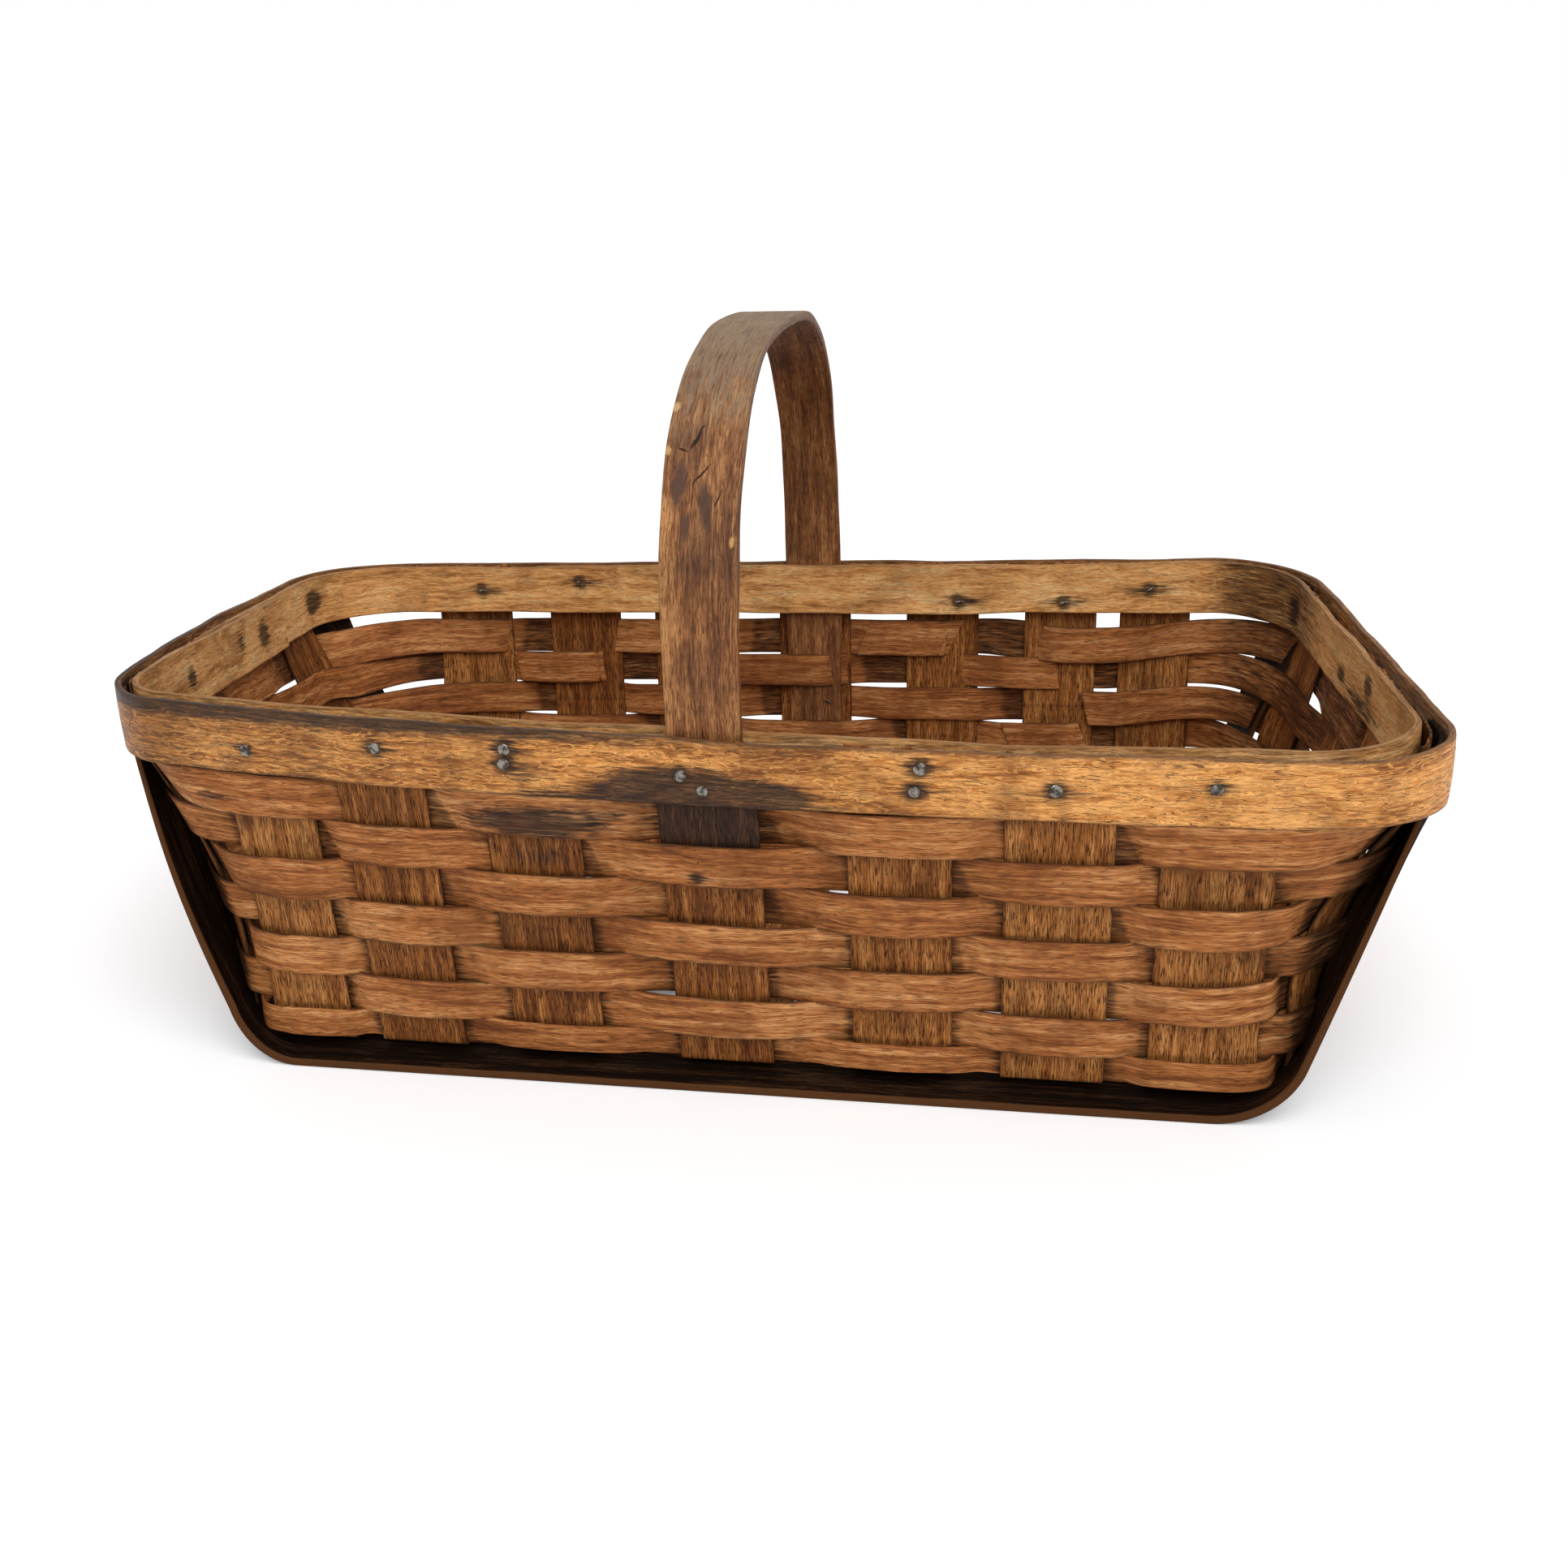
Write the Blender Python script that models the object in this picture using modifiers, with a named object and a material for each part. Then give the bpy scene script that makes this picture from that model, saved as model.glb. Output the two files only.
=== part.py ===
"""Splint gathering basket.

An old farm basket of ash splint. Seven cross stakes and four long stakes are laced into a flat
base and bent up into the walls, seven rows of weaver go round them, and their tops are gripped
between an outer and an inner band. A bent handle stands between the bands, and two thick runners
under the base guard it and bend up outside the ends.

Metres, +Z up. X runs along the basket and Y from its front to its back. The origin is on the
ground, under the middle of the whole basket.

Each splint is first made true, on straight and square walls, and then settled: one smooth change
of shape, the same for all of them, gives the basket the rack, twist and bow of its age. Splints
that lie on each other when true still do so when settled.
"""

import math

import bmesh
import bpy
from mathutils import Vector

# Overall sizes, true
RIM_LENGTH = 0.525            # over the outer band
RIM_WIDTH = 0.274             # over the outer band
RIM_TOP = 0.151               # from the ground
BASE_LENGTH = 0.426           # between the feet of the end walls
BASE_WIDTH = 0.257            # between the feet of the side walls
SIDE_FLARE = 1.1              # 1 for straight walls, more for walls that open towards the rim
END_FLARE = 0.65              # less for walls that belly out low down
BASE_CORNER = 0.0180          # corner radius of the walls' feet
FRONT_RIGHT_CORNER = 0.042    # corner radii of the rim, over the outer band
BACK_RIGHT_CORNER = 0.050
BACK_LEFT_CORNER = 0.050
FRONT_LEFT_CORNER = 0.031
WALL_CORNER_INSET = 0.0035    # how much tighter the walls turn under the rim than the outer band
CORNER_ROUNDING = 0.034       # how much wider the corners of the walls turn halfway up

# Bands of the rim
BAND_HEIGHT = 0.026
BAND_THICKNESS = 0.0026
OUTER_LAP = 0.070             # how far each band's ends lap
INNER_LAP = 0.094
OUTER_LAP_PLACE = 0.10        # the outer lap's middle, left of centre on the back
INNER_LAP_PLACE = 0.001       # the inner lap's middle, behind centre on the left end
INNER_CORNER_GROWTH = 0.010   # how much wider the inner band turns at the front right

# Stakes
CROSS_STAKES = 7
LONG_STAKES = 4
STAKE_WIDTH = 0.0385
STAKE_THICKNESS = 0.0011
CENTRE_STAKE_PLACE = 0.002    # X of the middle cross stake, which carries the handle
CROSS_STAKE_MARGIN = 0.0312   # from the base's end to the middle of the last cross stake
LONG_STAKE_MARGIN = 0.0300    # from the base's side to the middle of the last long stake
LONG_STAKE_SPACE = 0.0020     # least space between two long stakes
CROWDING = 0.18               # how much closer the cross stakes stand towards the ends
STAKE_BEND = 0.0020           # radius where a stake turns up from the base
STAKE_TUCK = 0.0010           # how far the stakes' tops stay under the bands' tops

# How far each stake has slid sideways: cross stakes on the front and on the back, and long stakes
FRONT_DRIFTS = (0.0008, -0.0017, -0.0015, 0.0, 0.0038, 0.0009, 0.0020)
BACK_DRIFTS = (-0.0017, 0.0038, 0.0, 0.0, 0.0013, 0.0045, 0.0030)
LONG_DRIFTS = (0.0, -0.0150, -0.0385, -0.0285)

# Weavers
WEAVER_ROWS = 7
LAST_ROW_SHARE = 0.7          # width of the lowest weaver, as a share of the others
WEAVER_THICKNESS = 0.0009
ROW_GAP = 0.0006
WEAVER_FIT = 0.0005           # between a weaver and the stakes that it crosses
CORNER_FIT = 0.0011           # the same, at stakes that bend round a corner
WEAVER_SWELL = 0.0005         # extra bulge where a weaver passes a stake
FRONT_SWELL = 0.0028          # the same, outside the stakes of the front
STAKE_MARGIN = 0.0010         # how far a weaver stays clear of a stake past its edge
WEAVER_LAP_STEP = 0.0030      # how far a weaver's ends stay hidden behind the lapped stake
WEAVER_JOINTS = (13, 16, 11, 12, 15, 16, 17)    # crossing where each row's ends lap

# Handle
HANDLE_WIDTH = 0.0285
HANDLE_THICKNESS = 0.0040
HANDLE_TOP = 0.2875           # from the ground
HANDLE_SQUARENESS = 2.85      # 2 for an elliptic arch, more for a squarer one
TAIL_THICKNESS = 0.0018       # at the end of each tail
TAIL_DROP = 0.062             # how far the tails go down below the bands

# Runners
RUNNER_WIDTH = 0.037
RUNNER_THICKNESS = 0.0035
RUNNER_TIP_THICKNESS = 0.0020
RUNNER_OVERHANG = 0.013       # how far it stands out past the foot of the side wall
RUNNER_BEND = 0.034           # radius where it turns up
RUNNER_BEND_START = 0.027     # from the base's end to where its outer edge starts to bend
RUNNER_FOLD = 0.020           # how much later its inner edge starts to bend
RUNNER_GAP = 0.0026           # between the runner's flat and the base, which sits on its bends
RUNNER_BOW = 0.0020           # how far it bows out between the bend and the rim
RUNNER_TIP_PLACE = 0.0850     # from the middle of the end to the inner edge of its tip
RUNNER_TUCK = 0.0020          # how far its tips stay under the bands' tops
TIP_FIT = 0.0004              # between its tips and the outer band, round the corner

# Fit between splints that touch
FIT = 0.0003

# Settling: how far age has moved the true shape
END_RACK = -0.108             # slant of the two ends, seen from above
RACK_GROWTH = 3.0             # how fast the slant fades towards the middle
FRONT_BOW = 0.0169            # outward bow of each side of the rim, at its middle
BACK_BOW = -0.0023
LEFT_BOW = 0.0075
RIGHT_BOW = 0.0018
TWIST = 0.0057                # rise of the back right corner of the rim
END_TILT = -0.0019            # rise of the rim's right end
SIDE_TILT = -0.0019           # rise of the rim's back
BASE_LEAN = 0.0065            # how far the base stands in front of the rim

# Worked out from the sizes above
RIM_BOTTOM = RIM_TOP - BAND_HEIGHT
RIM_CORNERS = (FRONT_RIGHT_CORNER, BACK_RIGHT_CORNER, BACK_LEFT_CORNER, FRONT_LEFT_CORNER)
RIM_SLOT = HANDLE_THICKNESS + STAKE_THICKNESS + 3 * FIT
SIDE_INSET = BAND_THICKNESS + FIT + STAKE_THICKNESS / 2
END_INSET = BAND_THICKNESS + RIM_SLOT - FIT - STAKE_THICKNESS / 2
LACING = (STAKE_THICKNESS + FIT) / 2
BASE_LEVEL = RUNNER_THICKNESS + RUNNER_GAP + STAKE_THICKNESS / 2 + LACING
FOOT_LEVEL = BASE_LEVEL + STAKE_BEND
ROW_PITCH = (RIM_BOTTOM - ROW_GAP - FOOT_LEVEL) / (WEAVER_ROWS - 1 + LAST_ROW_SHARE)
WEAVER_OFFSET = (STAKE_THICKNESS + WEAVER_THICKNESS) / 2
TAIL_END = RIM_BOTTOM - TAIL_DROP

# The sides of a hoop in the order it runs, each with its direction and its outward direction
FRONT, RIGHT, BACK, LEFT = range(4)
RUNS = (Vector((1, 0)), Vector((0, 1)), Vector((-1, 0)), Vector((0, -1)))
OUTS = (Vector((0, -1)), Vector((1, 0)), Vector((0, 1)), Vector((-1, 0)))


def mix(start, end, share):
    """Returns the value that lies a share of the way from start to end."""
    return start + (end - start) * share


def spread(count, start, end):
    """Returns evenly spaced values from start to end."""
    return [mix(start, end, index / (count - 1)) for index in range(count)]


def settle(point):
    """Returns where a point of the true basket lies after its years of use."""
    x, y, z = point
    along = x / (RIM_LENGTH / 2)
    across = y / (RIM_WIDTH / 2)
    up = min(max(z / RIM_TOP, 0.0), 1.0)
    side_bow = -FRONT_BOW if y < 0 else BACK_BOW
    end_bow = -LEFT_BOW if x < 0 else RIGHT_BOW
    rack = END_RACK * y * abs(along) ** RACK_GROWTH
    bulge_x = up * end_bow * along ** 2 * max(1 - across ** 2, 0)
    bulge_y = up * side_bow * across ** 2 * max(1 - along ** 2, 0)
    lift = up * (TWIST * along * across + END_TILT * along + SIDE_TILT * across)
    return Vector((x + rack + bulge_x, y + bulge_y - BASE_LEAN * (1 - up), z + lift))


class Hoop:
    """A rounded rectangle seen from above, run anticlockwise from the front left corner."""

    def __init__(self, half_length, half_width, corners):
        self.halves = (half_length, half_width, half_length, half_width)
        self.reaches = (half_width, half_length, half_width, half_length)
        self.corners = corners
        self.firsts = [corners[side - 1] - self.halves[side] for side in range(4)]
        self.lasts = [self.halves[side] - corners[side] for side in range(4)]
        self.starts = [0.0]
        for side in range(4):
            straight = self.lasts[side] - self.firsts[side]
            self.starts.append(self.starts[-1] + straight + corners[side] * math.pi / 2)
        self.length = self.starts[4]

    def at(self, distance):
        """Returns the point and the outward direction at a distance along the hoop."""
        distance %= self.length
        side = max(index for index in range(4) if self.starts[index] <= distance)
        run, out, corner = RUNS[side], OUTS[side], self.corners[side]
        along = distance - self.starts[side] + self.firsts[side]
        if along <= self.lasts[side]:
            return run * along + out * self.reaches[side], out
        turn = (along - self.lasts[side]) / corner
        outward = out * math.cos(turn) + run * math.sin(turn)
        centre = run * self.lasts[side] + out * (self.reaches[side] - corner)
        return centre + outward * corner, outward

    def place(self, side, along):
        """Returns the distance along the hoop of a point of a side, given from its middle."""
        first, last = self.firsts[side], self.lasts[side]
        if along > last:
            corner = self.corners[side]
            return self.starts[side] + last - first + corner * math.asin(min((along - last) / corner, 1))
        if along < first:
            corner = self.corners[side - 1]
            return self.starts[side] - corner * math.asin(min((first - along) / corner, 1))
        return self.starts[side] + along - first

    def point(self, distance, height, offset=0.0):
        """Returns the point at a distance along the hoop, moved outwards and set at a height."""
        place, outward = self.at(distance)
        return Vector((*(place + outward * offset), height))


def rim_hoop(inset, growth=0.0):
    """Returns the outer band's outline, drawn in by an inset, its front right corner grown."""
    corners = [corner - inset for corner in RIM_CORNERS]
    corners[FRONT] += growth
    return Hoop(RIM_LENGTH / 2 - inset, RIM_WIDTH / 2 - inset, corners)


def wall_hoop(height):
    """Returns the outline that the middles of the stakes follow at a height.

    The corners are tight at the base and under the rim, and widest halfway up.
    """
    climb = min(max((height - BASE_LEVEL) / (RIM_BOTTOM - BASE_LEVEL), 0.0), 1.0)
    share = climb ** SIDE_FLARE
    widening = CORNER_ROUNDING * 4 * climb * (1 - climb)
    half_length = mix(BASE_LENGTH / 2, RIM_LENGTH / 2 - END_INSET, climb ** END_FLARE)
    half_width = mix(BASE_WIDTH / 2, RIM_WIDTH / 2 - SIDE_INSET, share)
    corners = [
        mix(BASE_CORNER, corner - WALL_CORNER_INSET, share) + widening for corner in RIM_CORNERS
    ]
    return Hoop(half_length, half_width, corners)


def cross_stake_places(drifts):
    """Returns the X of each cross stake, closer together towards the ends, as they have drifted."""
    reach = BASE_LENGTH / 2 - CROSS_STAKE_MARGIN
    shares = spread(CROSS_STAKES, -1.0, 1.0)
    return [
        reach * share * (1 + CROWDING * (1 - abs(share))) + CENTRE_STAKE_PLACE * (1 - abs(share))
        + drifts[index % len(drifts)]
        for index, share in enumerate(shares)
    ]


def long_stake_places():
    """Returns the Y of each long stake, as it has drifted, and clear of the one before it."""
    reach = BASE_WIDTH / 2 - LONG_STAKE_MARGIN
    places = []
    for index, y in enumerate(spread(LONG_STAKES, -reach, reach)):
        place = y + LONG_DRIFTS[index % len(LONG_DRIFTS)]
        if places:
            place = max(place, places[-1] + STAKE_WIDTH + LONG_STAKE_SPACE)
        places.append(place)
    return places


def is_flat(side, place):
    """Tells whether a stake stays clear of the walls' corners."""
    for height in spread(8, FOOT_LEVEL, RIM_BOTTOM):
        hoop = wall_hoop(height)
        room = hoop.lasts[side] if place > 0 else -hoop.firsts[side]
        if abs(place) + STAKE_WIDTH / 2 >= room:
            return False
    return True


def stake_lines(flat):
    """Returns where a stake's lines lie across its width: only its edges, if it stays flat."""
    return (-1.0, 1.0) if flat else (-1.0, -0.5, 0.0, 0.5, 1.0)


def tail_thickness(height):
    """Returns the thickness of the handle's leg or tail at a height."""
    share = min(max((height - TAIL_END) / (RIM_BOTTOM - TAIL_END), 0.0), 1.0)
    return mix(TAIL_THICKNESS, HANDLE_THICKNESS, share)


def finish(name, colour, roughness):
    """Makes the plain material of one kind of splint."""
    material = bpy.data.materials.new(name)
    material.use_nodes = True
    shader = material.node_tree.nodes["Principled BSDF"]
    shader.inputs["Base Color"].default_value = (*colour, 1.0)
    shader.inputs["Roughness"].default_value = roughness
    shader.inputs["Metallic"].default_value = 0.0
    return material


def strip(name, rows, thickness, material, side=0.0, weights=None, edge=0.0):
    """Makes one true splint and settles it.

    Its faces are split along their shorter way, so that splints that lie on each other bend alike.
    rows are lines of points along the splint, side by side. side is 0 where they lie in the
    middle of its thickness, and -1 or 1 where they lie on one face. weights, one for each point
    of a row, thin the splint along its length, and edge is the size of its rounded edges.
    """
    columns = len(rows[0])
    sheet = bmesh.new()
    bmesh.ops.create_grid(sheet, x_segments=columns - 1, y_segments=len(rows) - 1, size=0.5)
    points = [point for row in rows for point in row]
    for vertex, point in zip(sheet.verts, points):
        vertex.co = point
    bmesh.ops.triangulate(sheet, faces=sheet.faces, quad_method="SHORT_EDGE")
    mesh = bpy.data.meshes.new(name)
    sheet.to_mesh(mesh)
    sheet.free()
    piece = bpy.data.objects.new(name, mesh)
    basket.objects.link(piece)
    wall = piece.modifiers.new("Thickness", "SOLIDIFY")
    wall.thickness = thickness
    wall.offset = side
    wall.use_even_offset = True
    if weights:
        group = piece.vertex_groups.new(name="thickness")
        for index in range(len(points)):
            group.add([index], weights[index % columns], "REPLACE")
        wall.vertex_group = group.name
        wall.thickness_vertex_group = 0.0
    if edge:
        rounding = piece.modifiers.new("Edges", "BEVEL")
        rounding.width = edge
        rounding.segments = 1
        rounding.angle_limit = math.radians(50)
    return settled(piece, material)


def settled(piece, material):
    """Bakes a true piece's modifiers, settles its points and dresses it."""
    graph = bpy.context.evaluated_depsgraph_get()
    mesh = bpy.data.meshes.new_from_object(piece.evaluated_get(graph))
    true_mesh = piece.data
    piece.modifiers.clear()
    piece.vertex_groups.clear()
    piece.data = mesh
    bpy.data.meshes.remove(true_mesh)
    mesh.name = piece.name
    solid = bmesh.new()
    solid.from_mesh(mesh)
    for vertex in solid.verts:
        vertex.co = settle(vertex.co)
    bmesh.ops.recalc_face_normals(solid, faces=solid.faces)
    solid.to_mesh(mesh)
    solid.free()
    mesh.shade_smooth()
    mesh.set_sharp_from_angle(angle=math.radians(40))
    mesh.materials.clear()
    mesh.materials.append(material)
    return piece


def band(name, hoop, lap, middle, lap_shift, starts_on_top, material):
    """Makes one band of the rim, whose last stretch laps its first.

    middle is the lap's middle along the hoop. lap_shift moves the last stretch outwards, or the
    first one where the band starts on top.
    """
    first = middle - lap / 2
    last = first + hoop.length + lap
    stops = [first, first + lap, first + lap * 1.5, last - lap * 1.5, last - lap, last]
    for side in range(4):
        for turn in (0, hoop.length):
            start = hoop.starts[side] + turn
            straight = hoop.lasts[side] - hoop.firsts[side]
            bend = hoop.corners[side] * math.pi / 2
            parts = max(round(straight / 0.045), 2)
            stops += [start + straight * index / parts for index in range(parts)]
            stops += [start + straight + bend * index / 9 for index in range(9)]
    stops = sorted(stop for stop in stops if first <= stop <= last)
    stations = [stops[0]]
    for stop in stops[1:]:
        if stop - stations[-1] > 0.004 or stop == last:
            stations.append(stop)
    shifts = []
    for station in stations:
        lapped = station - first if starts_on_top else last - station
        shifts.append(lap_shift * min(max(3 - 2 * lapped / lap, 0.0), 1.0))
    rows = [
        [hoop.point(station, height, shift) for station, shift in zip(stations, shifts)]
        for height in (RIM_BOTTOM, RIM_TOP)
    ]
    strip(name, rows, BAND_THICKNESS, material)


def base_place(ends, across):
    """Returns the X of a cross stake where it passes a Y of the base, between its two ends."""
    return mix(ends[0], ends[1], 0.5 + across / BASE_WIDTH)


def stake(name, side, ends, partners, parity, material):
    """Makes one stake, from a rim side, down the wall, across the base and up the far wall.

    ends are the stake's places on the two walls, seen along its own side, and partners are the
    places of the stakes that it crosses in the base, seen along its own way. It starts below the
    first for an even parity. On the walls its points lie level with the weavers' edges.
    """
    seams = [RIM_BOTTOM - ROW_GAP / 2 - row * ROW_PITCH for row in range(1, WEAVER_ROWS)]
    heights = [RIM_TOP - STAKE_TUCK, RIM_BOTTOM, *seams, FOOT_LEVEL]
    foot = wall_hoop(BASE_LEVEL)
    reach = foot.reaches[side]
    run, out = RUNS[side], OUTS[side]
    rows = []
    for share in stake_lines(is_flat(side, ends[0]) and is_flat(side + 2, -ends[1])):
        near, far = (end + share * STAKE_WIDTH / 2 for end in ends)
        near_wall = [wall_hoop(z).point(wall_hoop(z).place(side, near), z) for z in heights]
        far_wall = [wall_hoop(z).point(wall_hoop(z).place(side + 2, -far), z) for z in heights]
        base = []
        for index, partner in enumerate(partners):
            level = BASE_LEVEL + (LACING if (index + parity) % 2 else -LACING)
            for edge in (-STAKE_WIDTH / 2, STAKE_WIDTH / 2):
                along = mix(near, far, 0.5 + (partner + edge) / (2 * reach))
                base.append(Vector((*(run * along - out * (partner + edge)), level)))
        bends = []
        near_place, far_place = foot.place(side, near), foot.place(side + 2, -far)
        for sign, place, wall_foot in ((1, near_place, near_wall[-1]), (-1, far_place, far_wall[-1])):
            corner = foot.point(place, BASE_LEVEL)
            inner = corner - Vector((*(out * sign * STAKE_BEND), 0.0))
            bends.append([
                wall_foot.lerp(corner, turn).lerp(corner.lerp(inner, turn), turn)
                for turn in (0.33, 0.67, 1.0)
            ])
        rows.append(near_wall + bends[0] + base + bends[1][::-1] + far_wall[::-1])
    strip(name, rows, STAKE_THICKNESS, material)


def crossings():
    """Returns the side and place of every stake in the order that a weaver meets them."""
    front, back = cross_stake_places(FRONT_DRIFTS), cross_stake_places(BACK_DRIFTS)
    ends = long_stake_places()
    return (
        [(FRONT, x) for x in front] + [(RIGHT, y) for y in ends]
        + [(BACK, -x) for x in reversed(back)] + [(LEFT, -y) for y in reversed(ends)]
    )


def is_outside(crossing, row):
    """Tells whether a row's weaver passes outside the stake at a crossing."""
    return (crossing + row) % 2 == 1


def weaver_line(row, height):
    """Returns one edge of a row's weaver, from its hidden first end to the end that laps it."""
    hoop = wall_hoop(height)
    stakes = crossings()
    count = len(stakes)
    handle_crossings = (CROSS_STAKES // 2, CROSS_STAKES + LONG_STAKES + CROSS_STAKES // 2)
    joint = WEAVER_JOINTS[(row - 1) % len(WEAVER_JOINTS)]
    clear_edge = 1 + STAKE_MARGIN / (STAKE_WIDTH / 2)
    hidden_edge = 1 - WEAVER_LAP_STEP / (STAKE_WIDTH / 2)
    points = []
    previous = None
    for step in range(count + 1):
        crossing = (joint + step) % count
        turns = (joint + step) // count
        side, place = stakes[crossing]
        outside = is_outside(crossing, row)
        flat = is_flat(side, place)
        offset = WEAVER_OFFSET + (WEAVER_FIT if flat else CORNER_FIT)
        if not outside:
            offset = -offset
        if crossing in handle_crossings and not outside and height > TAIL_END - ROW_PITCH:
            offset -= tail_thickness(height) + FIT
        if step == count:
            offset -= WEAVER_THICKNESS + FIT
        first = -clear_edge if step > 0 else -hidden_edge
        last = clear_edge if step < count else hidden_edge
        stake_rows = (-0.45, 0.45) if side == FRONT and outside else (0.0,)
        if not flat:
            stake_rows = stake_lines(flat)
        lines = [first, *(line for line in stake_rows if first < line < last), last]
        stops = [
            hoop.place(side, place + line * STAKE_WIDTH / 2) + turns * hoop.length for line in lines
        ]
        if previous:
            before, before_offset, before_side = previous
            parts = 2 if side == before_side else 4
            for part in range(1, parts):
                share = part / parts
                ease = (1 - math.cos(math.pi * share)) / 2
                distance = mix(before, stops[0], share)
                points.append(hoop.point(distance, height, mix(before_offset, offset, ease)))
        swell = FRONT_SWELL if side == FRONT and outside else math.copysign(WEAVER_SWELL, offset)
        for stop, line in zip(stops, lines):
            points.append(hoop.point(stop, height, offset + swell * max(1 - line * line, 0)))
        previous = stops[-1], offset, side
    return points


def weaver(row, material):
    """Makes the weaver of one row, counted from the rim down."""
    top = RIM_BOTTOM - ROW_GAP - (row - 1) * ROW_PITCH
    width = ROW_PITCH * (LAST_ROW_SHARE if row == WEAVER_ROWS else 1.0) - ROW_GAP
    rows = [weaver_line(row, top - width), weaver_line(row, top)]
    strip(f"weaver_{row}", rows, WEAVER_THICKNESS, material)


def handle(material):
    """Makes the handle: a tail, a leg between the bands, the arch, and down again."""
    gap = STAKE_THICKNESS / 2 + FIT
    heights = spread(6, TAIL_END, RIM_BOTTOM) + [RIM_TOP]
    leg = []
    for height in heights:
        thickness = tail_thickness(height)
        reach = wall_hoop(height).reaches[FRONT] - gap - thickness / 2
        leg.append((-reach, height, thickness / HANDLE_THICKNESS))
    half_span = -leg[-1][0]
    rise = HANDLE_TOP - HANDLE_THICKNESS / 2 - RIM_TOP
    power = 2 / HANDLE_SQUARENESS
    arch = []
    for angle in spread(25, 0.0, math.pi)[1:-1]:
        y = -half_span * math.copysign(abs(math.cos(angle)) ** power, math.cos(angle))
        arch.append((y, RIM_TOP + rise * math.sin(angle) ** power, 1.0))
    far_leg = [(-y, z, weight) for y, z, weight in reversed(leg)]
    path = leg + arch + far_leg
    rows = [
        [Vector((CENTRE_STAKE_PLACE + side * HANDLE_WIDTH / 2, y, z)) for y, z, weight in path]
        for side in (-1, 1)
    ]
    weights = [weight for y, z, weight in path]
    strip("handle", rows, HANDLE_THICKNESS, material, weights=weights, edge=0.0007)


def runner_half(share, toward, back):
    """Returns one line of a runner's underside, from its middle out to one tip.

    share is 0 at the runner's outer edge and 1 at its inner edge. toward is 1 for the right end
    and -1 for the left, and back is 1 for the runner at the back and -1 for the one at the front.
    """
    foot_y = BASE_WIDTH / 2 + RUNNER_OVERHANG - share * RUNNER_WIDTH
    bend_x = BASE_LENGTH / 2 - RUNNER_BEND_START + share * RUNNER_FOLD
    slot = rim_hoop(BAND_THICKNESS + TIP_FIT)
    side = RIGHT if toward > 0 else LEFT
    outer_way = toward * back
    tip = slot.place(side, outer_way * RUNNER_TIP_PLACE) + outer_way * (1 - share) * RUNNER_WIDTH
    tip_place = slot.at(tip)[0]
    tip_x, tip_y = abs(tip_place.x), abs(tip_place.y)
    reach_x, reach_z = tip_x - bend_x, RIM_BOTTOM - RUNNER_BEND
    span = math.hypot(reach_x, reach_z)
    last_angle = math.atan2(reach_z, reach_x) - math.acos(RUNNER_BEND / span)
    line = [(0.0, 0.0), (bend_x, 0.0)]
    for angle in spread(7, -math.pi / 2, last_angle)[1:]:
        line.append((
            bend_x + RUNNER_BEND * math.cos(angle), RUNNER_BEND * (1 + math.sin(angle))
        ))
    start_x, start_z = line[-1]
    for part in spread(5, 0.0, 1.0)[1:]:
        x = mix(start_x, tip_x, part) + RUNNER_BOW * math.sin(math.pi * part)
        line.append((x, mix(start_z, RIM_BOTTOM, part)))
    line.append((tip_x, RIM_TOP - RUNNER_TUCK))
    points = []
    for x, z in line:
        y = mix(foot_y, tip_y, min(z / RIM_BOTTOM, 1.0))
        points.append(Vector((toward * x, back * y, z)))
    return points


def runner(name, back, material):
    """Makes one runner, thinned towards its tips."""
    rows = []
    for share in spread(6, 0.0, 1.0):
        left, right = (runner_half(share, toward, back) for toward in (-1, 1))
        rows.append(left[:0:-1] + right)
    weights = []
    for point in rows[0]:
        share = min(point.z / RIM_BOTTOM, 1.0)
        weights.append(mix(1.0, RUNNER_TIP_THICKNESS / RUNNER_THICKNESS, share))
    strip(name, rows, RUNNER_THICKNESS, material, side=-back, weights=weights)


def centre_on_origin(pieces):
    """Moves the whole basket so that the origin is under the middle of its box."""
    corners = [vertex.co for piece in pieces for vertex in piece.data.vertices]
    middle_x = (min(corner.x for corner in corners) + max(corner.x for corner in corners)) / 2
    middle_y = (min(corner.y for corner in corners) + max(corner.y for corner in corners)) / 2
    lowest = min(corner.z for corner in corners)
    shift = Vector((-middle_x, -middle_y, -lowest))
    for piece in pieces:
        for vertex in piece.data.vertices:
            vertex.co += shift
    print("moved by", [round(value, 5) for value in shift])


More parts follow.
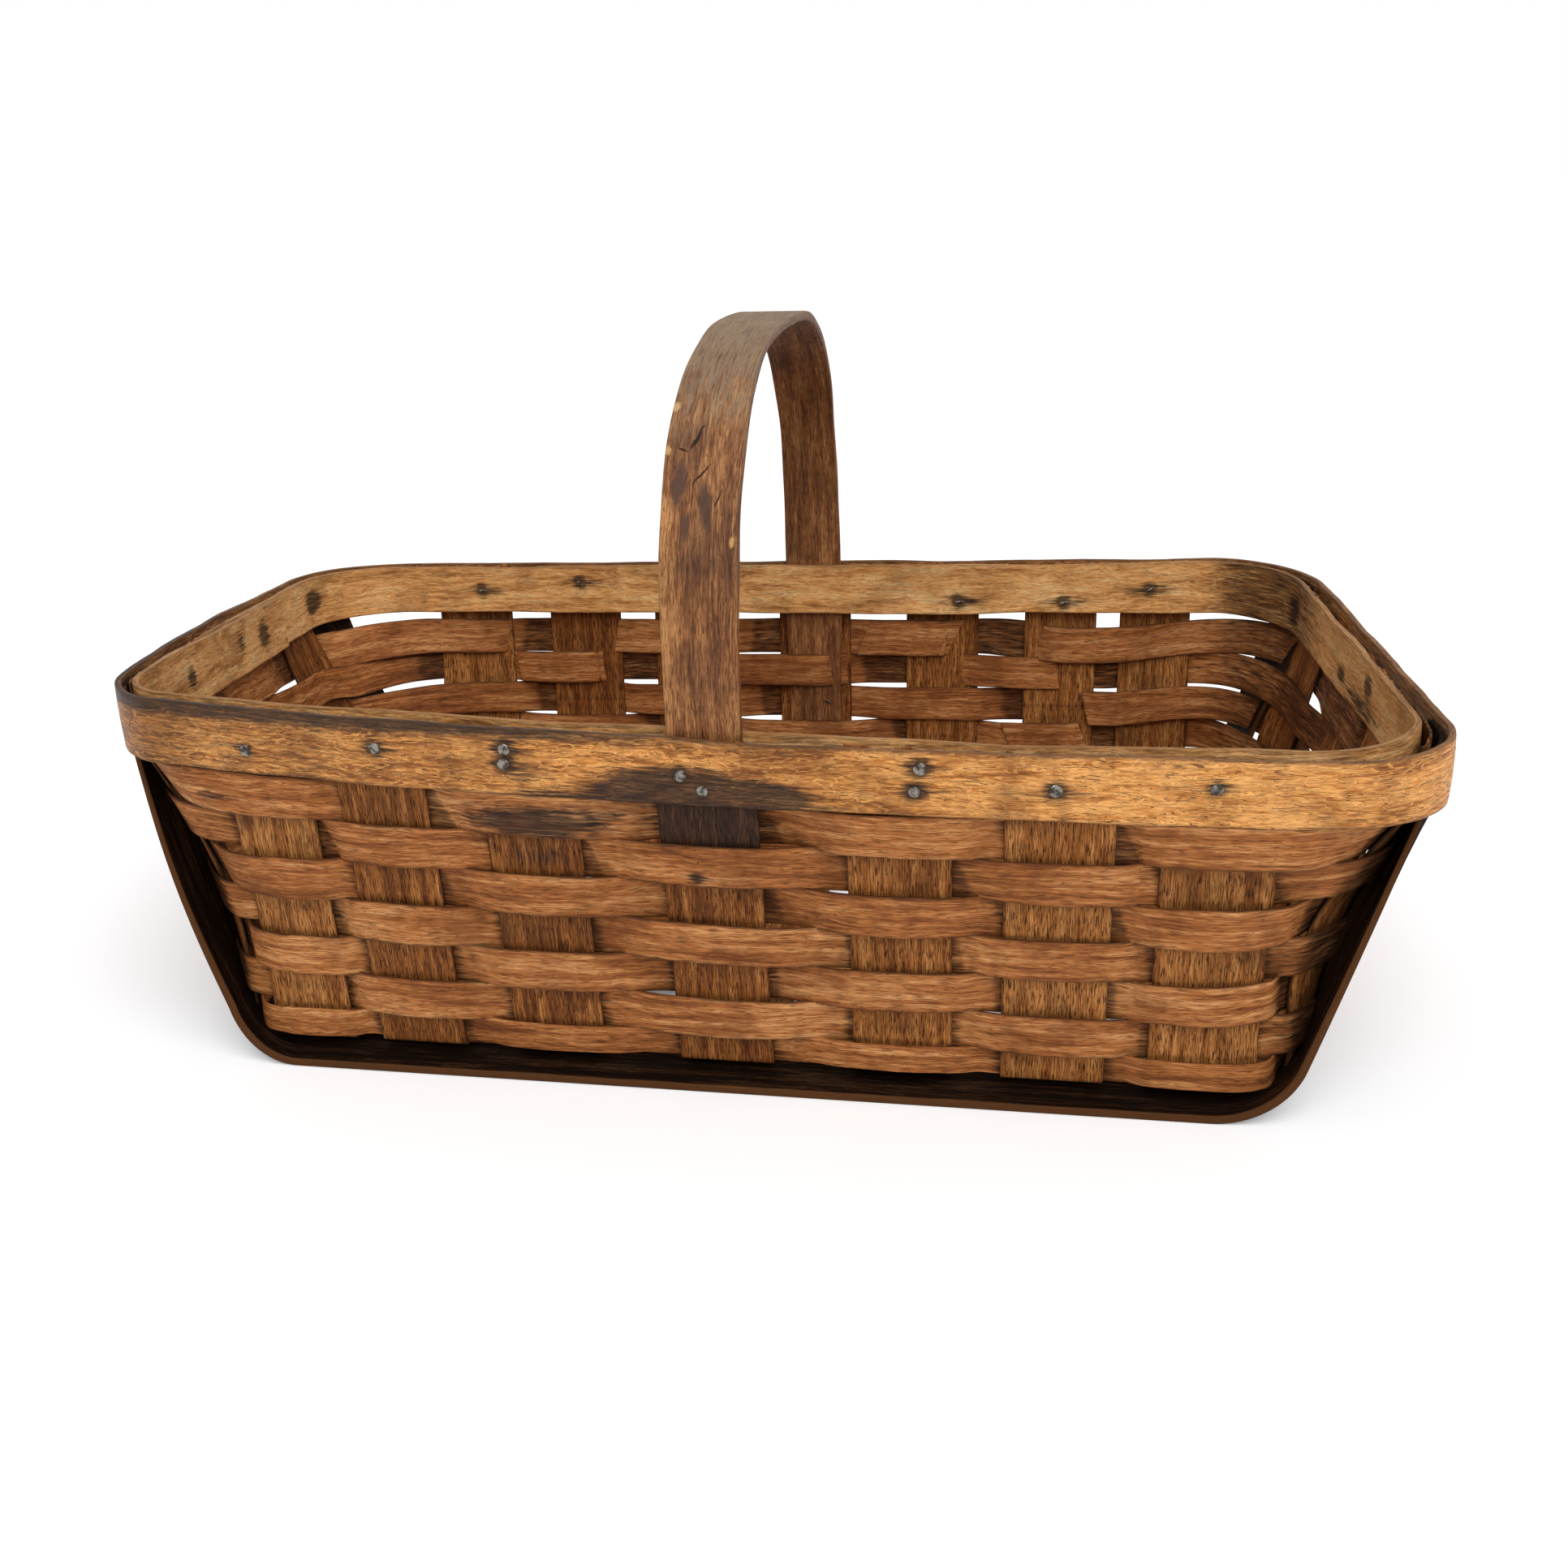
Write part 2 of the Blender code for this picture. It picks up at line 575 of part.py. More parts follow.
def build():
    """Makes every piece of the basket."""
    honey = finish("honey_band_wood", (0.47, 0.22, 0.07), 0.5)
    tan = finish("tan_band_wood", (0.50, 0.27, 0.10), 0.5)
    brown = finish("stake_splint", (0.27, 0.12, 0.035), 0.55)
    red = finish("weaver_splint", (0.24, 0.085, 0.03), 0.55)
    grey = finish("handle_wood", (0.25, 0.12, 0.05), 0.5)
    dark = finish("runner_wood", (0.11, 0.05, 0.025), 0.6)
    shift = BAND_THICKNESS + FIT
    outer = rim_hoop(BAND_THICKNESS / 2)
    band("outer_rim", outer, OUTER_LAP, outer.place(BACK, OUTER_LAP_PLACE), shift, False, honey)
    inner = rim_hoop(BAND_THICKNESS * 1.5 + RIM_SLOT, INNER_CORNER_GROWTH)
    band("inner_rim", inner, INNER_LAP, inner.place(LEFT, -INNER_LAP_PLACE), -shift, True, tan)
    handle(grey)
    along = long_stake_places()
    across = list(zip(cross_stake_places(FRONT_DRIFTS), cross_stake_places(BACK_DRIFTS)))
    for index, ends in enumerate(across):
        stake(f"cross_stake_{index + 1}", FRONT, ends, along, index, brown)
    for index, y in enumerate(along):
        partners = [-base_place(ends, y) for ends in reversed(across)]
        stake(f"long_stake_{index + 1}", RIGHT, (y, y), partners, index + 1, brown)
    for row in range(1, WEAVER_ROWS + 1):
        weaver(row, red)
    runner("runner_front", -1, dark)
    runner("runner_back", 1, dark)
    centre_on_origin(list(basket.objects))


for old in list(bpy.data.objects):
    bpy.data.objects.remove(old)
basket = bpy.data.collections.new("splint_gathering_basket")
bpy.context.scene.collection.children.link(basket)
build()
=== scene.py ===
"""Looks of an old splint gathering basket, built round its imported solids.

Each splint is made again as a fine sheet: a flat grid at the splint's own length and width, bent on
the path that its solid follows, thickened, and rounded along its edges. Its UV map is the flat
splint in metres, so that grain and pores run along it and bend with it.

Metres, +Z up. X runs along the basket, Y from its front to its back.
"""

import logging
import math
from dataclasses import dataclass, field
from enum import IntEnum

import bpy
import numpy as np
from mathutils import Matrix, Vector


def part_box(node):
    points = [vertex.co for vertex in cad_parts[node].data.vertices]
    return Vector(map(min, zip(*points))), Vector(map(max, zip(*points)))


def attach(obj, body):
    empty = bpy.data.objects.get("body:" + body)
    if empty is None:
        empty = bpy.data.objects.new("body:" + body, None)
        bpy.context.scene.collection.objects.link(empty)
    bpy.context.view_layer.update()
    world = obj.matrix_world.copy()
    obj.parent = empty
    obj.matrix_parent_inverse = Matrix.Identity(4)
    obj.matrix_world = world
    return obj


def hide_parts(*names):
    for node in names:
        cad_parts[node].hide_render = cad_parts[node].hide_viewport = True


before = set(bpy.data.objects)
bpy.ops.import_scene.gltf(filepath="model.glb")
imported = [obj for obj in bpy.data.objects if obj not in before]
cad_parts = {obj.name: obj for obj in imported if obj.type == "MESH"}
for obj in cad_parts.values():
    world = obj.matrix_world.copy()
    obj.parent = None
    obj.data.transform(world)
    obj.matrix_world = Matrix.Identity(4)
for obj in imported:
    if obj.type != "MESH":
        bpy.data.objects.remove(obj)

LOG = logging.getLogger("basket")
Value = float | str | tuple | bpy.types.NodeSocket
Socket = bpy.types.NodeSocket
Size = float | np.ndarray
# Per-point attributes: tone, grime mixed with painted shade in corners and recesses, iron stains and real
# wear.
WearAndShadeMaps = dict[str, tuple[np.ndarray, np.ndarray]]
WEAR_AND_SHADE = ("tone", "grime_and_shade", "iron", "wear")
BODY = "root"
SEED_STEP = 1.37                # from one splint's place on the grain to the next one's, in metres


class Side(IntEnum):
    """The sides of the basket, in the order that a hoop runs round it, seen from above."""

    FRONT = 0
    RIGHT = 1
    BACK = 2
    LEFT = 3


RUNS = np.array([(1.0, 0.0), (0.0, 1.0), (-1.0, 0.0), (0.0, -1.0)])
OUTS = np.array([(0.0, -1.0), (1.0, 0.0), (0.0, 1.0), (-1.0, 0.0)])


def mix(start: Size, end: Size, share: Size) -> Size:
    """Returns the value that lies a share of the way from start to end."""
    return start + (end - start) * share


def smooth(share: np.ndarray) -> np.ndarray:
    """Eases a share, cut to the range 0 to 1, in and out."""
    cut = np.clip(share, 0.0, 1.0)
    return cut * cut * (3.0 - 2.0 * cut)


def ripple(places: np.ndarray, length: float, seed: int) -> np.ndarray:
    """Returns an uneven slow wave, mostly between -1 and 1.

    Args:
        places: distances along the splint, in metres.
        length: the typical length of a wave, in metres.
        seed: picks the wave.

    Returns:
        The wave's value at each place.
    """
    draw = np.random.RandomState(seed)
    wave = np.zeros_like(places, dtype=float)
    for factor in (0.6, 1.0, 1.7, 2.9):
        wave += np.sin(2 * np.pi * (places * factor / length + draw.rand())) / (1 + factor)
    return wave / 1.2


@dataclass(frozen=True)
class BasketForm:
    """Driving sizes of the true basket, the same as those of its solids, in metres."""

    rim_length: float = 0.525
    rim_width: float = 0.274
    rim_top: float = 0.151
    base_length: float = 0.426
    base_width: float = 0.257
    side_flare: float = 1.1
    end_flare: float = 0.65
    base_corner: float = 0.018
    rim_corners: tuple[float, ...] = (0.042, 0.050, 0.050, 0.031)
    wall_corner_inset: float = 0.0035
    corner_rounding: float = 0.034
    band_height: float = 0.026
    band_thickness: float = 0.0026
    cross_stakes: int = 7
    long_stakes: int = 4
    stake_width: float = 0.0385
    stake_thickness: float = 0.0011
    centre_stake_place: float = 0.002
    cross_stake_margin: float = 0.0312
    long_stake_margin: float = 0.0300
    front_drifts: tuple[float, ...] = (0.0008, -0.0017, -0.0015, 0.0, 0.0038, 0.0009, 0.0020)
    back_drifts: tuple[float, ...] = (-0.0017, 0.0038, 0.0, 0.0, 0.0013, 0.0045, 0.0030)
    long_drifts: tuple[float, ...] = (0.0, -0.0150, -0.0385, -0.0285)
    crowding: float = 0.18
    stake_bend: float = 0.002
    weaver_rows: int = 7
    last_row_share: float = 0.7
    weaver_thickness: float = 0.0009
    row_gap: float = 0.0006
    handle_thickness: float = 0.004
    tail_thickness: float = 0.0018
    tail_drop: float = 0.062
    runner_thickness: float = 0.0035
    runner_gap: float = 0.0026
    fit: float = 0.0003

    @property
    def rim_bottom(self) -> float:
        """Height of the bands' lower edges."""
        return self.rim_top - self.band_height

    @property
    def rim_slot(self) -> float:
        """Room between the two bands."""
        return self.handle_thickness + self.stake_thickness + 3 * self.fit

    @property
    def side_inset(self) -> float:
        """From the outer band's face to the middle of a cross stake."""
        return self.band_thickness + self.fit + self.stake_thickness / 2

    @property
    def end_inset(self) -> float:
        """From the outer band's face to the middle of a long stake."""
        return self.band_thickness + self.rim_slot - self.fit - self.stake_thickness / 2

    @property
    def lacing(self) -> float:
        """How far a stake lies above or below the middle of the base."""
        return (self.stake_thickness + self.fit) / 2

    @property
    def base_level(self) -> float:
        """Height of the middle of the base."""
        return self.runner_thickness + self.runner_gap + self.stake_thickness / 2 + self.lacing

    @property
    def foot_level(self) -> float:
        """Height where the walls begin."""
        return self.base_level + self.stake_bend

    @property
    def row_pitch(self) -> float:
        """Height from one weaver to the next."""
        rows = self.weaver_rows - 1 + self.last_row_share
        return (self.rim_bottom - self.row_gap - self.foot_level) / rows

    def row_edges(self, row: int) -> tuple[float, float]:
        """Returns the heights of a weaver's lower and upper edges, its row counted from the rim.

        Args:
            row: the row, counted from the rim.

        Returns:
            The lower and the upper edge.
        """
        top = self.rim_bottom - self.row_gap - (row - 1) * self.row_pitch
        share = self.last_row_share if row == self.weaver_rows else 1.0
        return top - share * self.row_pitch + self.row_gap, top


@dataclass(frozen=True)
class Settling:
    """How far age has moved the true basket, the same as in its solids, in metres."""

    end_rack: float = -0.108
    rack_growth: float = 3.0
    front_bow: float = 0.0169
    back_bow: float = -0.0023
    left_bow: float = 0.0075
    right_bow: float = 0.0018
    twist: float = 0.0057
    end_tilt: float = -0.0019
    side_tilt: float = -0.0019
    base_lean: float = 0.0065


FORM = BasketForm()


class Hoop:
    """A rounded rectangle seen from above, run anticlockwise from the front left corner.

    Its sizes are numbers, or arrays with one value for each point that is asked for.
    """

    def __init__(self, half_length: Size, half_width: Size, corners: list[Size]) -> None:
        """Takes the hoop's sizes.

        Args:
            half_length: half its length.
            half_width: half its width.
            corners: its four corner radii, each at the end of its side.
        """
        self.halves = (half_length, half_width, half_length, half_width)
        self.reaches = (half_width, half_length, half_width, half_length)
        self.corners = corners
        self.firsts = [corners[side - 1] - self.halves[side] for side in Side]
        self.lasts = [self.halves[side] - corners[side] for side in Side]
        self.starts = [0.0 * half_length]
        for side in Side:
            straight = self.lasts[side] - self.firsts[side]
            self.starts.append(self.starts[-1] + straight + corners[side] * math.pi / 2)
        self.length = self.starts[4]

    def at(self, distance: np.ndarray) -> tuple[np.ndarray, np.ndarray]:
        """Returns the points and outward directions at distances along the hoop.

        Args:
            distance: distances along the hoop.

        Returns:
            The points and the directions, each as X and Y.
        """
        distance = np.mod(distance, self.length)
        ones = np.ones_like(distance)
        points = np.zeros((len(distance), 2))
        outwards = np.zeros((len(distance), 2))
        for side in Side:
            corner = self.corners[side]
            along = distance - self.starts[side] + self.firsts[side]
            here = (distance >= self.starts[side]) & (distance < self.starts[side + 1])
            turn = np.clip((along - self.lasts[side]) / corner, 0.0, math.pi / 2)
            run, out = RUNS[side][None, :], OUTS[side][None, :]
            outward = out * np.cos(turn)[:, None] + run * np.sin(turn)[:, None]
            straight = np.minimum(along, self.lasts[side])[:, None]
            reach = (self.reaches[side] - corner) * ones
            point = run * straight + out * reach[:, None]
            point = point + outward * (corner * ones)[:, None]
            points[here] = point[here]
            outwards[here] = outward[here]
        return points, outwards

    def place(self, side: int, along: float) -> float:
        """Returns the distance along the hoop of a point of a side, given from its middle.

        Args:
            side: the side of the basket.
            along: the place along that side, from its middle.

        Returns:
            The distance along the hoop.
        """
        first, last = self.firsts[side], self.lasts[side]
        if along > last:
            corner = self.corners[side]
            turn = math.asin(min((along - last) / corner, 1.0))
            return self.starts[side] + last - first + corner * turn
        if along < first:
            corner = self.corners[side - 1]
            return self.starts[side] - corner * math.asin(min((first - along) / corner, 1.0))
        return self.starts[side] + along - first

    def points(self, distance: np.ndarray, height: Size, offset: Size) -> np.ndarray:
        """Returns points at distances along the hoop, moved outwards and set at heights.

        Args:
            distance: distances along the hoop.
            height: the height of each.
            offset: how far out each is moved.

        Returns:
            The points.
        """
        places, outward = self.at(distance)
        moved = places + outward * (offset * np.ones_like(distance))[:, None]
        return np.column_stack([moved, height * np.ones_like(distance)])


def rim_hoop(inset: float, growth: float = 0.0) -> Hoop:
    """Returns the outer band's outline, drawn in by an inset, its front right corner grown.

    Args:
        inset: how far it is drawn in.
        growth: what the corner's radius gains.

    Returns:
        The outline.
    """
    corners = [corner - inset for corner in FORM.rim_corners]
    corners[Side.FRONT] += growth
    return Hoop(FORM.rim_length / 2 - inset, FORM.rim_width / 2 - inset, corners)


def wall_hoop(height: Size) -> Hoop:
    """Returns the outline that the middles of the stakes follow at a height, or at each height.

    Args:
        height: one height, or one for each point.

    Returns:
        The outline.
    """
    climb = np.clip((height - FORM.base_level) / (FORM.rim_bottom - FORM.base_level), 0.0, 1.0)
    share = climb**FORM.side_flare
    widening = FORM.corner_rounding * 4 * climb * (1 - climb)
    end_share = climb**FORM.end_flare
    half_length = mix(FORM.base_length / 2, FORM.rim_length / 2 - FORM.end_inset, end_share)
    half_width = mix(FORM.base_width / 2, FORM.rim_width / 2 - FORM.side_inset, share)
    corners = [
        mix(FORM.base_corner, corner - FORM.wall_corner_inset, share) + widening
        for corner in FORM.rim_corners
    ]
    return Hoop(half_length, half_width, corners)


def settle(points: np.ndarray) -> np.ndarray:
    """Returns where points of the true basket lie after its years of use.

    Args:
        points: points of the true basket, one to a row.

    Returns:
        The points, settled.
    """
    age = Settling()
    x, y, z = points.T
    along = x / (FORM.rim_length / 2)
    across = y / (FORM.rim_width / 2)
    up = np.clip(z / FORM.rim_top, 0.0, 1.0)
    side_bow = np.where(y < 0, -age.front_bow, age.back_bow)
    end_bow = np.where(x < 0, -age.left_bow, age.right_bow)
    rack = age.end_rack * y * np.abs(along) ** age.rack_growth
    bulge_x = up * end_bow * along**2 * np.maximum(1 - across**2, 0)
    bulge_y = up * side_bow * across**2 * np.maximum(1 - along**2, 0)
    lift = up * (age.twist * along * across + age.end_tilt * along + age.side_tilt * across)
    return np.column_stack([x + rack + bulge_x, y + bulge_y - age.base_lean * (1 - up), z + lift])


def frame_shift() -> np.ndarray:
    """Returns the move from the true basket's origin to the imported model's, read from its rims.

    Returns:
        The move along X, Y and Z.
    """
    shift = np.zeros(3)
    for axis, node, inset, growth in (
        (0, "outer_rim", 0.0, 0.0),
        (1, "inner_rim", FORM.band_thickness + FORM.rim_slot, Rim.inner_growth),
    ):
        hoop = rim_hoop(inset, growth)
        distances = np.linspace(0.0, hoop.length, 2000)
        outline = np.concatenate([
            settle(hoop.points(distances, height, 0.0)) for height in (FORM.rim_bottom, FORM.rim_top)
        ])
        low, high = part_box(node)
        middle = (outline[:, axis].min() + outline[:, axis].max()) / 2
        shift[axis] = (low[axis] + high[axis]) / 2 - middle
    return shift


def cross_stake_places(drifts: tuple[float, ...]) -> list[float]:
    """Returns the X of each cross stake, closer together towards the ends, as they drifted.

    Args:
        drifts: how far each has drifted.

    Returns:
        One X for each stake.
    """
    reach = FORM.base_length / 2 - FORM.cross_stake_margin
    shares = np.linspace(-1.0, 1.0, FORM.cross_stakes)
    return [
        reach * share * (1 + FORM.crowding * (1 - abs(share)))
        + FORM.centre_stake_place * (1 - abs(share)) + drift
        for share, drift in zip(shares, drifts)
    ]


def long_stake_places() -> list[float]:
    """Returns the Y of each long stake."""
    reach = FORM.base_width / 2 - FORM.long_stake_margin
    return list(np.linspace(-reach, reach, FORM.long_stakes) + FORM.long_drifts)


def linear(hex_colour: str) -> tuple[float, float, float, float]:
    """Turns an sRGB hex colour into a linear one with full alpha.

    Args:
        hex_colour: six hex digits.

    Returns:
        Red, green, blue and alpha, from 0 to 1.
    """
    values = [int(hex_colour[index : index + 2], 16) / 255 for index in (0, 2, 4)]
    light = [v / 12.92 if v <= 0.04045 else ((v + 0.055) / 1.055) ** 2.4 for v in values]
    return (*light, 1.0)


class Tree:
    """The node tree of a material or the world, with one short call for each kind of step."""

    def __init__(
        self, owner: bpy.types.Material | bpy.types.World, shader: str = "Principled BSDF"
    ) -> None:
        """Turns on the owner's nodes, and keeps its shader, which is given by name.

        Args:
            owner: the material or the world.
            shader: the name of its shader node.
        """
        owner.use_nodes = True
        self.owner = owner
        self.nodes = owner.node_tree.nodes
        self.links = owner.node_tree.links
        self.shader = self.nodes[shader]

    def add(self, kind: str, settings: dict | None = None, inputs: dict | None = None) -> bpy.types.Node:
        """Adds a node.

        Args:
            kind: the node's type.
            settings: the node's own properties.
            inputs: a number, colour or other node's output for each input, by name or index.

        Returns:
            The node.
        """
        node = self.nodes.new(kind)
        for name, value in (settings or {}).items():
            setattr(node, name, value)
        for name, value in (inputs or {}).items():
            if isinstance(value, bpy.types.NodeSocket):
                self.links.new(value, node.inputs[name])
            else:
                node.inputs[name].default_value = value
        return node

    def maths(self, operation: str, *values: Value, clamp: bool = False) -> Socket:
        """Returns the outcome of a sum of numbers or outputs."""
        inputs = dict(enumerate(values))
        return self.add("ShaderNodeMath", {"operation": operation, "use_clamp": clamp}, inputs).outputs[0]

    def ramp(
        self, value: Value, low: float, high: float, start: Value = 0.0, end: Value = 1.0,
        kind: str = "SMOOTHSTEP",
    ) -> Socket:
        """Returns a value mapped to a range, eased unless kind is LINEAR.

        Args:
            value: the value.
            low: where the range starts.
            high: where it ends.
            start: the outcome at low and before it.
            end: the outcome at high and after it.
            kind: SMOOTHSTEP or LINEAR.
        """
        inputs = {"Value": value, "From Min": low, "From Max": high, "To Min": start, "To Max": end}
        return self.add("ShaderNodeMapRange", {"interpolation_type": kind}, inputs).outputs[0]

    def blend(self, amount: Value, first: Value, second: Value) -> Socket:
        """Returns a mix of two colours, each an output or an sRGB hex value."""
        first, second = (linear(c) if isinstance(c, str) else c for c in (first, second))
        return self.add("ShaderNodeMix", {"data_type": "RGBA"}, {0: amount, 6: first, 7: second}).outputs[2]

    def grain(
        self, place: Socket, length: float, width: float, detail: float = 2.0,
        roughness: float = 0.6,
    ) -> Socket:
        """Returns noise on a splint's own map.

        Args:
            place: the place on the map.
            length: the length of a grain of the noise, in millimetres.
            width: its width, in millimetres.
            detail: how many finer layers it has.
            roughness: how strong they are.

        Returns:
            The noise, from 0 to 1.
        """
        scaled = self.add("ShaderNodeVectorMath", {"operation": "MULTIPLY"},
                          {0: place, 1: (1000.0 / length, 1000.0 / width, 1.0)}).outputs[0]
        return self.add("ShaderNodeTexNoise", {"noise_dimensions": "2D"},
                        {"Vector": scaled, "Scale": 1.0, "Detail": detail,
                         "Roughness": roughness}).outputs["Fac"]

    def sideways(self, place: Socket, noise: Socket, reach: float) -> Socket:
        """Returns a place moved across the splint by noise, at most reach millimetres.

        Args:
            place: the place.
            noise: the noise.
            reach: the most that it moves.

        Returns:
            The moved place.
        """
        drift = self.maths("MULTIPLY_ADD", noise, 2 * reach / 1000.0, -reach / 1000.0)
        move = self.add("ShaderNodeCombineXYZ", {}, {"Y": drift}).outputs[0]
        return self.add("ShaderNodeVectorMath", {"operation": "ADD"}, {0: place, 1: move}).outputs[0]


@dataclass(frozen=True)
class Scar:
    """A crack, chip or scrape on a splint, as a long thin mark.

    Its middle is given along and across the splint and its length and width after them, all in
    millimetres; lean turns it, in degrees, and depth sinks it.
    """

    along: float
    across: float
    length: float
    width: float
    lean: float = 0.0
    colour: str = "1c0f0a"
    depth: float = 0.5


@dataclass(frozen=True)
class SplintWood:
    """Ring-porous wood split along the grain, oiled by hands and darkened by age.

    Growth rings show as long bands, the torn fibres between them as fine streaks, and the open
    pores as short dark dashes. Real pores are 0.2 to 0.4 mm wide, and are drawn at 0.4 mm and a few
    millimetres long so that they show. Lengths are in millimetres and colours are sRGB hex values.
    seed is that of the splint which bears the scars.
    """

    name: str
    slot: str
    dark: str
    middle: str
    pale: str
    pore: str
    half_width: float
    contrast: float = 1.0
    ring: tuple[float, float] = (90.0, 3.2)
    streak: tuple[float, float] = (24.0, 1.0)
    fibre: tuple[float, float] = (9.0, 0.42)
    shares: tuple[float, float, float] = (0.34, 0.36, 0.30)
    warp: float = 1.2
    warp_length: float = 70.0
    pore_size: tuple[float, float] = (5.0, 0.42)
    pore_amount: float = 0.6
    line_size: tuple[float, float] = (30.0, 2.4)
    line_amount: float = 0.6
    flake_size: tuple[float, float] = (13.0, 4.2)
    flake_amount: float = 0.0
    blotch: str = "4a2c18"
    blotch_size: float = 30.0
    blotch_amount: float = 0.35
    edge: str = "2b180d"
    edge_width: float = 1.1
    edge_amount: float = 0.7
    worn: str = "d8b27c"
    # soil tints real dirt and the painted shade in corners and recesses alike.
    soil: str = "24140b"
    iron: str = "1f1a1a"
    roughness: float = 0.56
    gloss: float = 0.14
    bump: float = 0.5
    scars: tuple[Scar, ...] = ()
    seed: int = 0

    def material(self) -> bpy.types.Material:
        """Makes the finish, which reads the splint's UV map and its own wear attributes, painted shade
        among them.

        Returns:
            The material.
        """
        tree = Tree(bpy.data.materials.new(self.name))
        flat = tree.add("ShaderNodeUVMap", {"uv_map": "splint"}).outputs["UV"]
        slow = tree.grain(flat, self.warp_length, 14.0)
        place = tree.sideways(flat, slow, self.warp)
        place = tree.sideways(place, tree.grain(flat, 8.0, 3.0), 0.22)
        layers = [tree.grain(place, *size, detail=3.0) for size in (self.ring, self.streak, self.fibre)]
        marks = {
            name: tree.add("ShaderNodeAttribute", {"attribute_name": name}).outputs["Fac"]
            for name in WEAR_AND_SHADE
        }
        relief, colour = self.fibres(tree, layers, marks["tone"])
        colour, relief = self.flakes(tree, place, colour, relief)
        colour, relief = self.lines(tree, place, layers[1], colour, relief)
        colour = self.blotches(tree, colour)
        colour = self.edges(tree, flat, layers[1], colour)
        colour = self.stains(tree, place, marks, colour)
        colour, relief = self.scarred(tree, flat, colour, relief)
        tree.links.new(colour, tree.shader.inputs["Base Color"])
        rough = tree.ramp(relief, 0.2, 0.8, self.roughness + 0.14, self.roughness - 0.08, "LINEAR")
        tree.links.new(rough, tree.shader.inputs["Roughness"])
        tree.shader.inputs["Specular IOR Level"].default_value = self.gloss
        bump = tree.add("ShaderNodeBump", {}, {"Height": relief, "Strength": self.bump, "Distance": 0.0009})
        tree.links.new(bump.outputs[0], tree.shader.inputs["Normal"])
        return tree.owner

    def fibres(self, tree: Tree, layers: list[Socket], tone: Socket) -> tuple[Socket, Socket]:
        """Mixes rings, streaks and fibres, and colours them from dark to pale.

        Args:
            tree: the finish's node tree.
            layers: the noise of rings, streaks and fibres.
            tone: how much paler it is than usual.

        Returns:
            The relief and the colour.
        """
        level = tree.maths("MULTIPLY", layers[0], self.shares[0])
        for layer, share in zip(layers[1:], self.shares[1:]):
            level = tree.maths("MULTIPLY_ADD", layer, share, level)
        toned = tree.maths("MULTIPLY_ADD", tone, 0.07, level)
        reach = 0.12 / self.contrast
        lower = tree.ramp(toned, 0.5 - reach, 0.5, kind="LINEAR")
        upper = tree.ramp(toned, 0.5, 0.5 + reach, kind="LINEAR")
        return level, tree.blend(upper, tree.blend(lower, self.dark, self.middle), self.pale)

    def flakes(
        self, tree: Tree, place: Socket, colour: Socket, relief: Socket
    ) -> tuple[Socket, Socket]:
        """Adds the torn flakes of a hewn face: flat steps with a dark line along each lower edge.

        Args:
            tree: the finish's node tree.
            place: the grain's place on the splint.
            colour: the colour so far.
            relief: the relief so far.

        Returns:
            The new colour and relief.
        """
        if not self.flake_amount:
            return colour, relief
        noise = tree.grain(place, *self.flake_size, detail=2.5, roughness=0.5)
        terraces = tree.maths("MULTIPLY", noise, 11.0)
        step = tree.maths("FRACT", terraces)
        level = tree.maths("FLOOR", terraces)
        patch = tree.maths("PINGPONG", tree.maths("MULTIPLY", level, 0.37), 0.5)
        tint = tree.ramp(patch, 0.05, 0.45, 0.0, 0.75 * self.flake_amount)
        colour = tree.blend(tint, colour, self.pale)
        colour = tree.blend(tree.ramp(patch, 0.22, 0.0, 0.0, 0.55 * self.flake_amount), colour, self.dark)
        lip = tree.ramp(step, 0.0, 0.16, self.flake_amount, 0.0)
        colour = tree.blend(lip, colour, self.pore)
        raised = tree.maths("MULTIPLY_ADD", level, 0.11, relief)
        return colour, tree.maths("MULTIPLY_ADD", tree.ramp(step, 0.0, 0.16), 0.11, raised)

    def lines(
        self, tree: Tree, place: Socket, streak: Socket, colour: Socket, relief: Socket
    ) -> tuple[Socket, Socket]:
        """Adds thin broken dark lines and open pores.

        Args:
            tree: the finish's node tree.
            place: the grain's place on the splint.
            streak: the noise of its streaks.
            colour: the colour so far.
            relief: the relief so far.

        Returns:
            The new colour and relief.
        """
        bend = tree.grain(place, *self.line_size, detail=2.0)
        ridge = tree.maths("ABSOLUTE", tree.maths("SUBTRACT", bend, 0.5))
        thin = tree.ramp(ridge, 0.0, 0.022, 1.0, 0.0)
        broken = tree.ramp(streak, 0.46, 0.54)
        line = tree.maths("MULTIPLY", tree.maths("MULTIPLY", thin, broken), self.line_amount)
        pores = tree.ramp(tree.grain(place, *self.pore_size, detail=1.0), 0.55, 0.66, 0.0, self.pore_amount)
        deep = tree.maths("MAXIMUM", line, pores)
        return tree.blend(deep, colour, self.pore), tree.maths("MULTIPLY_ADD", deep, -0.5, relief)

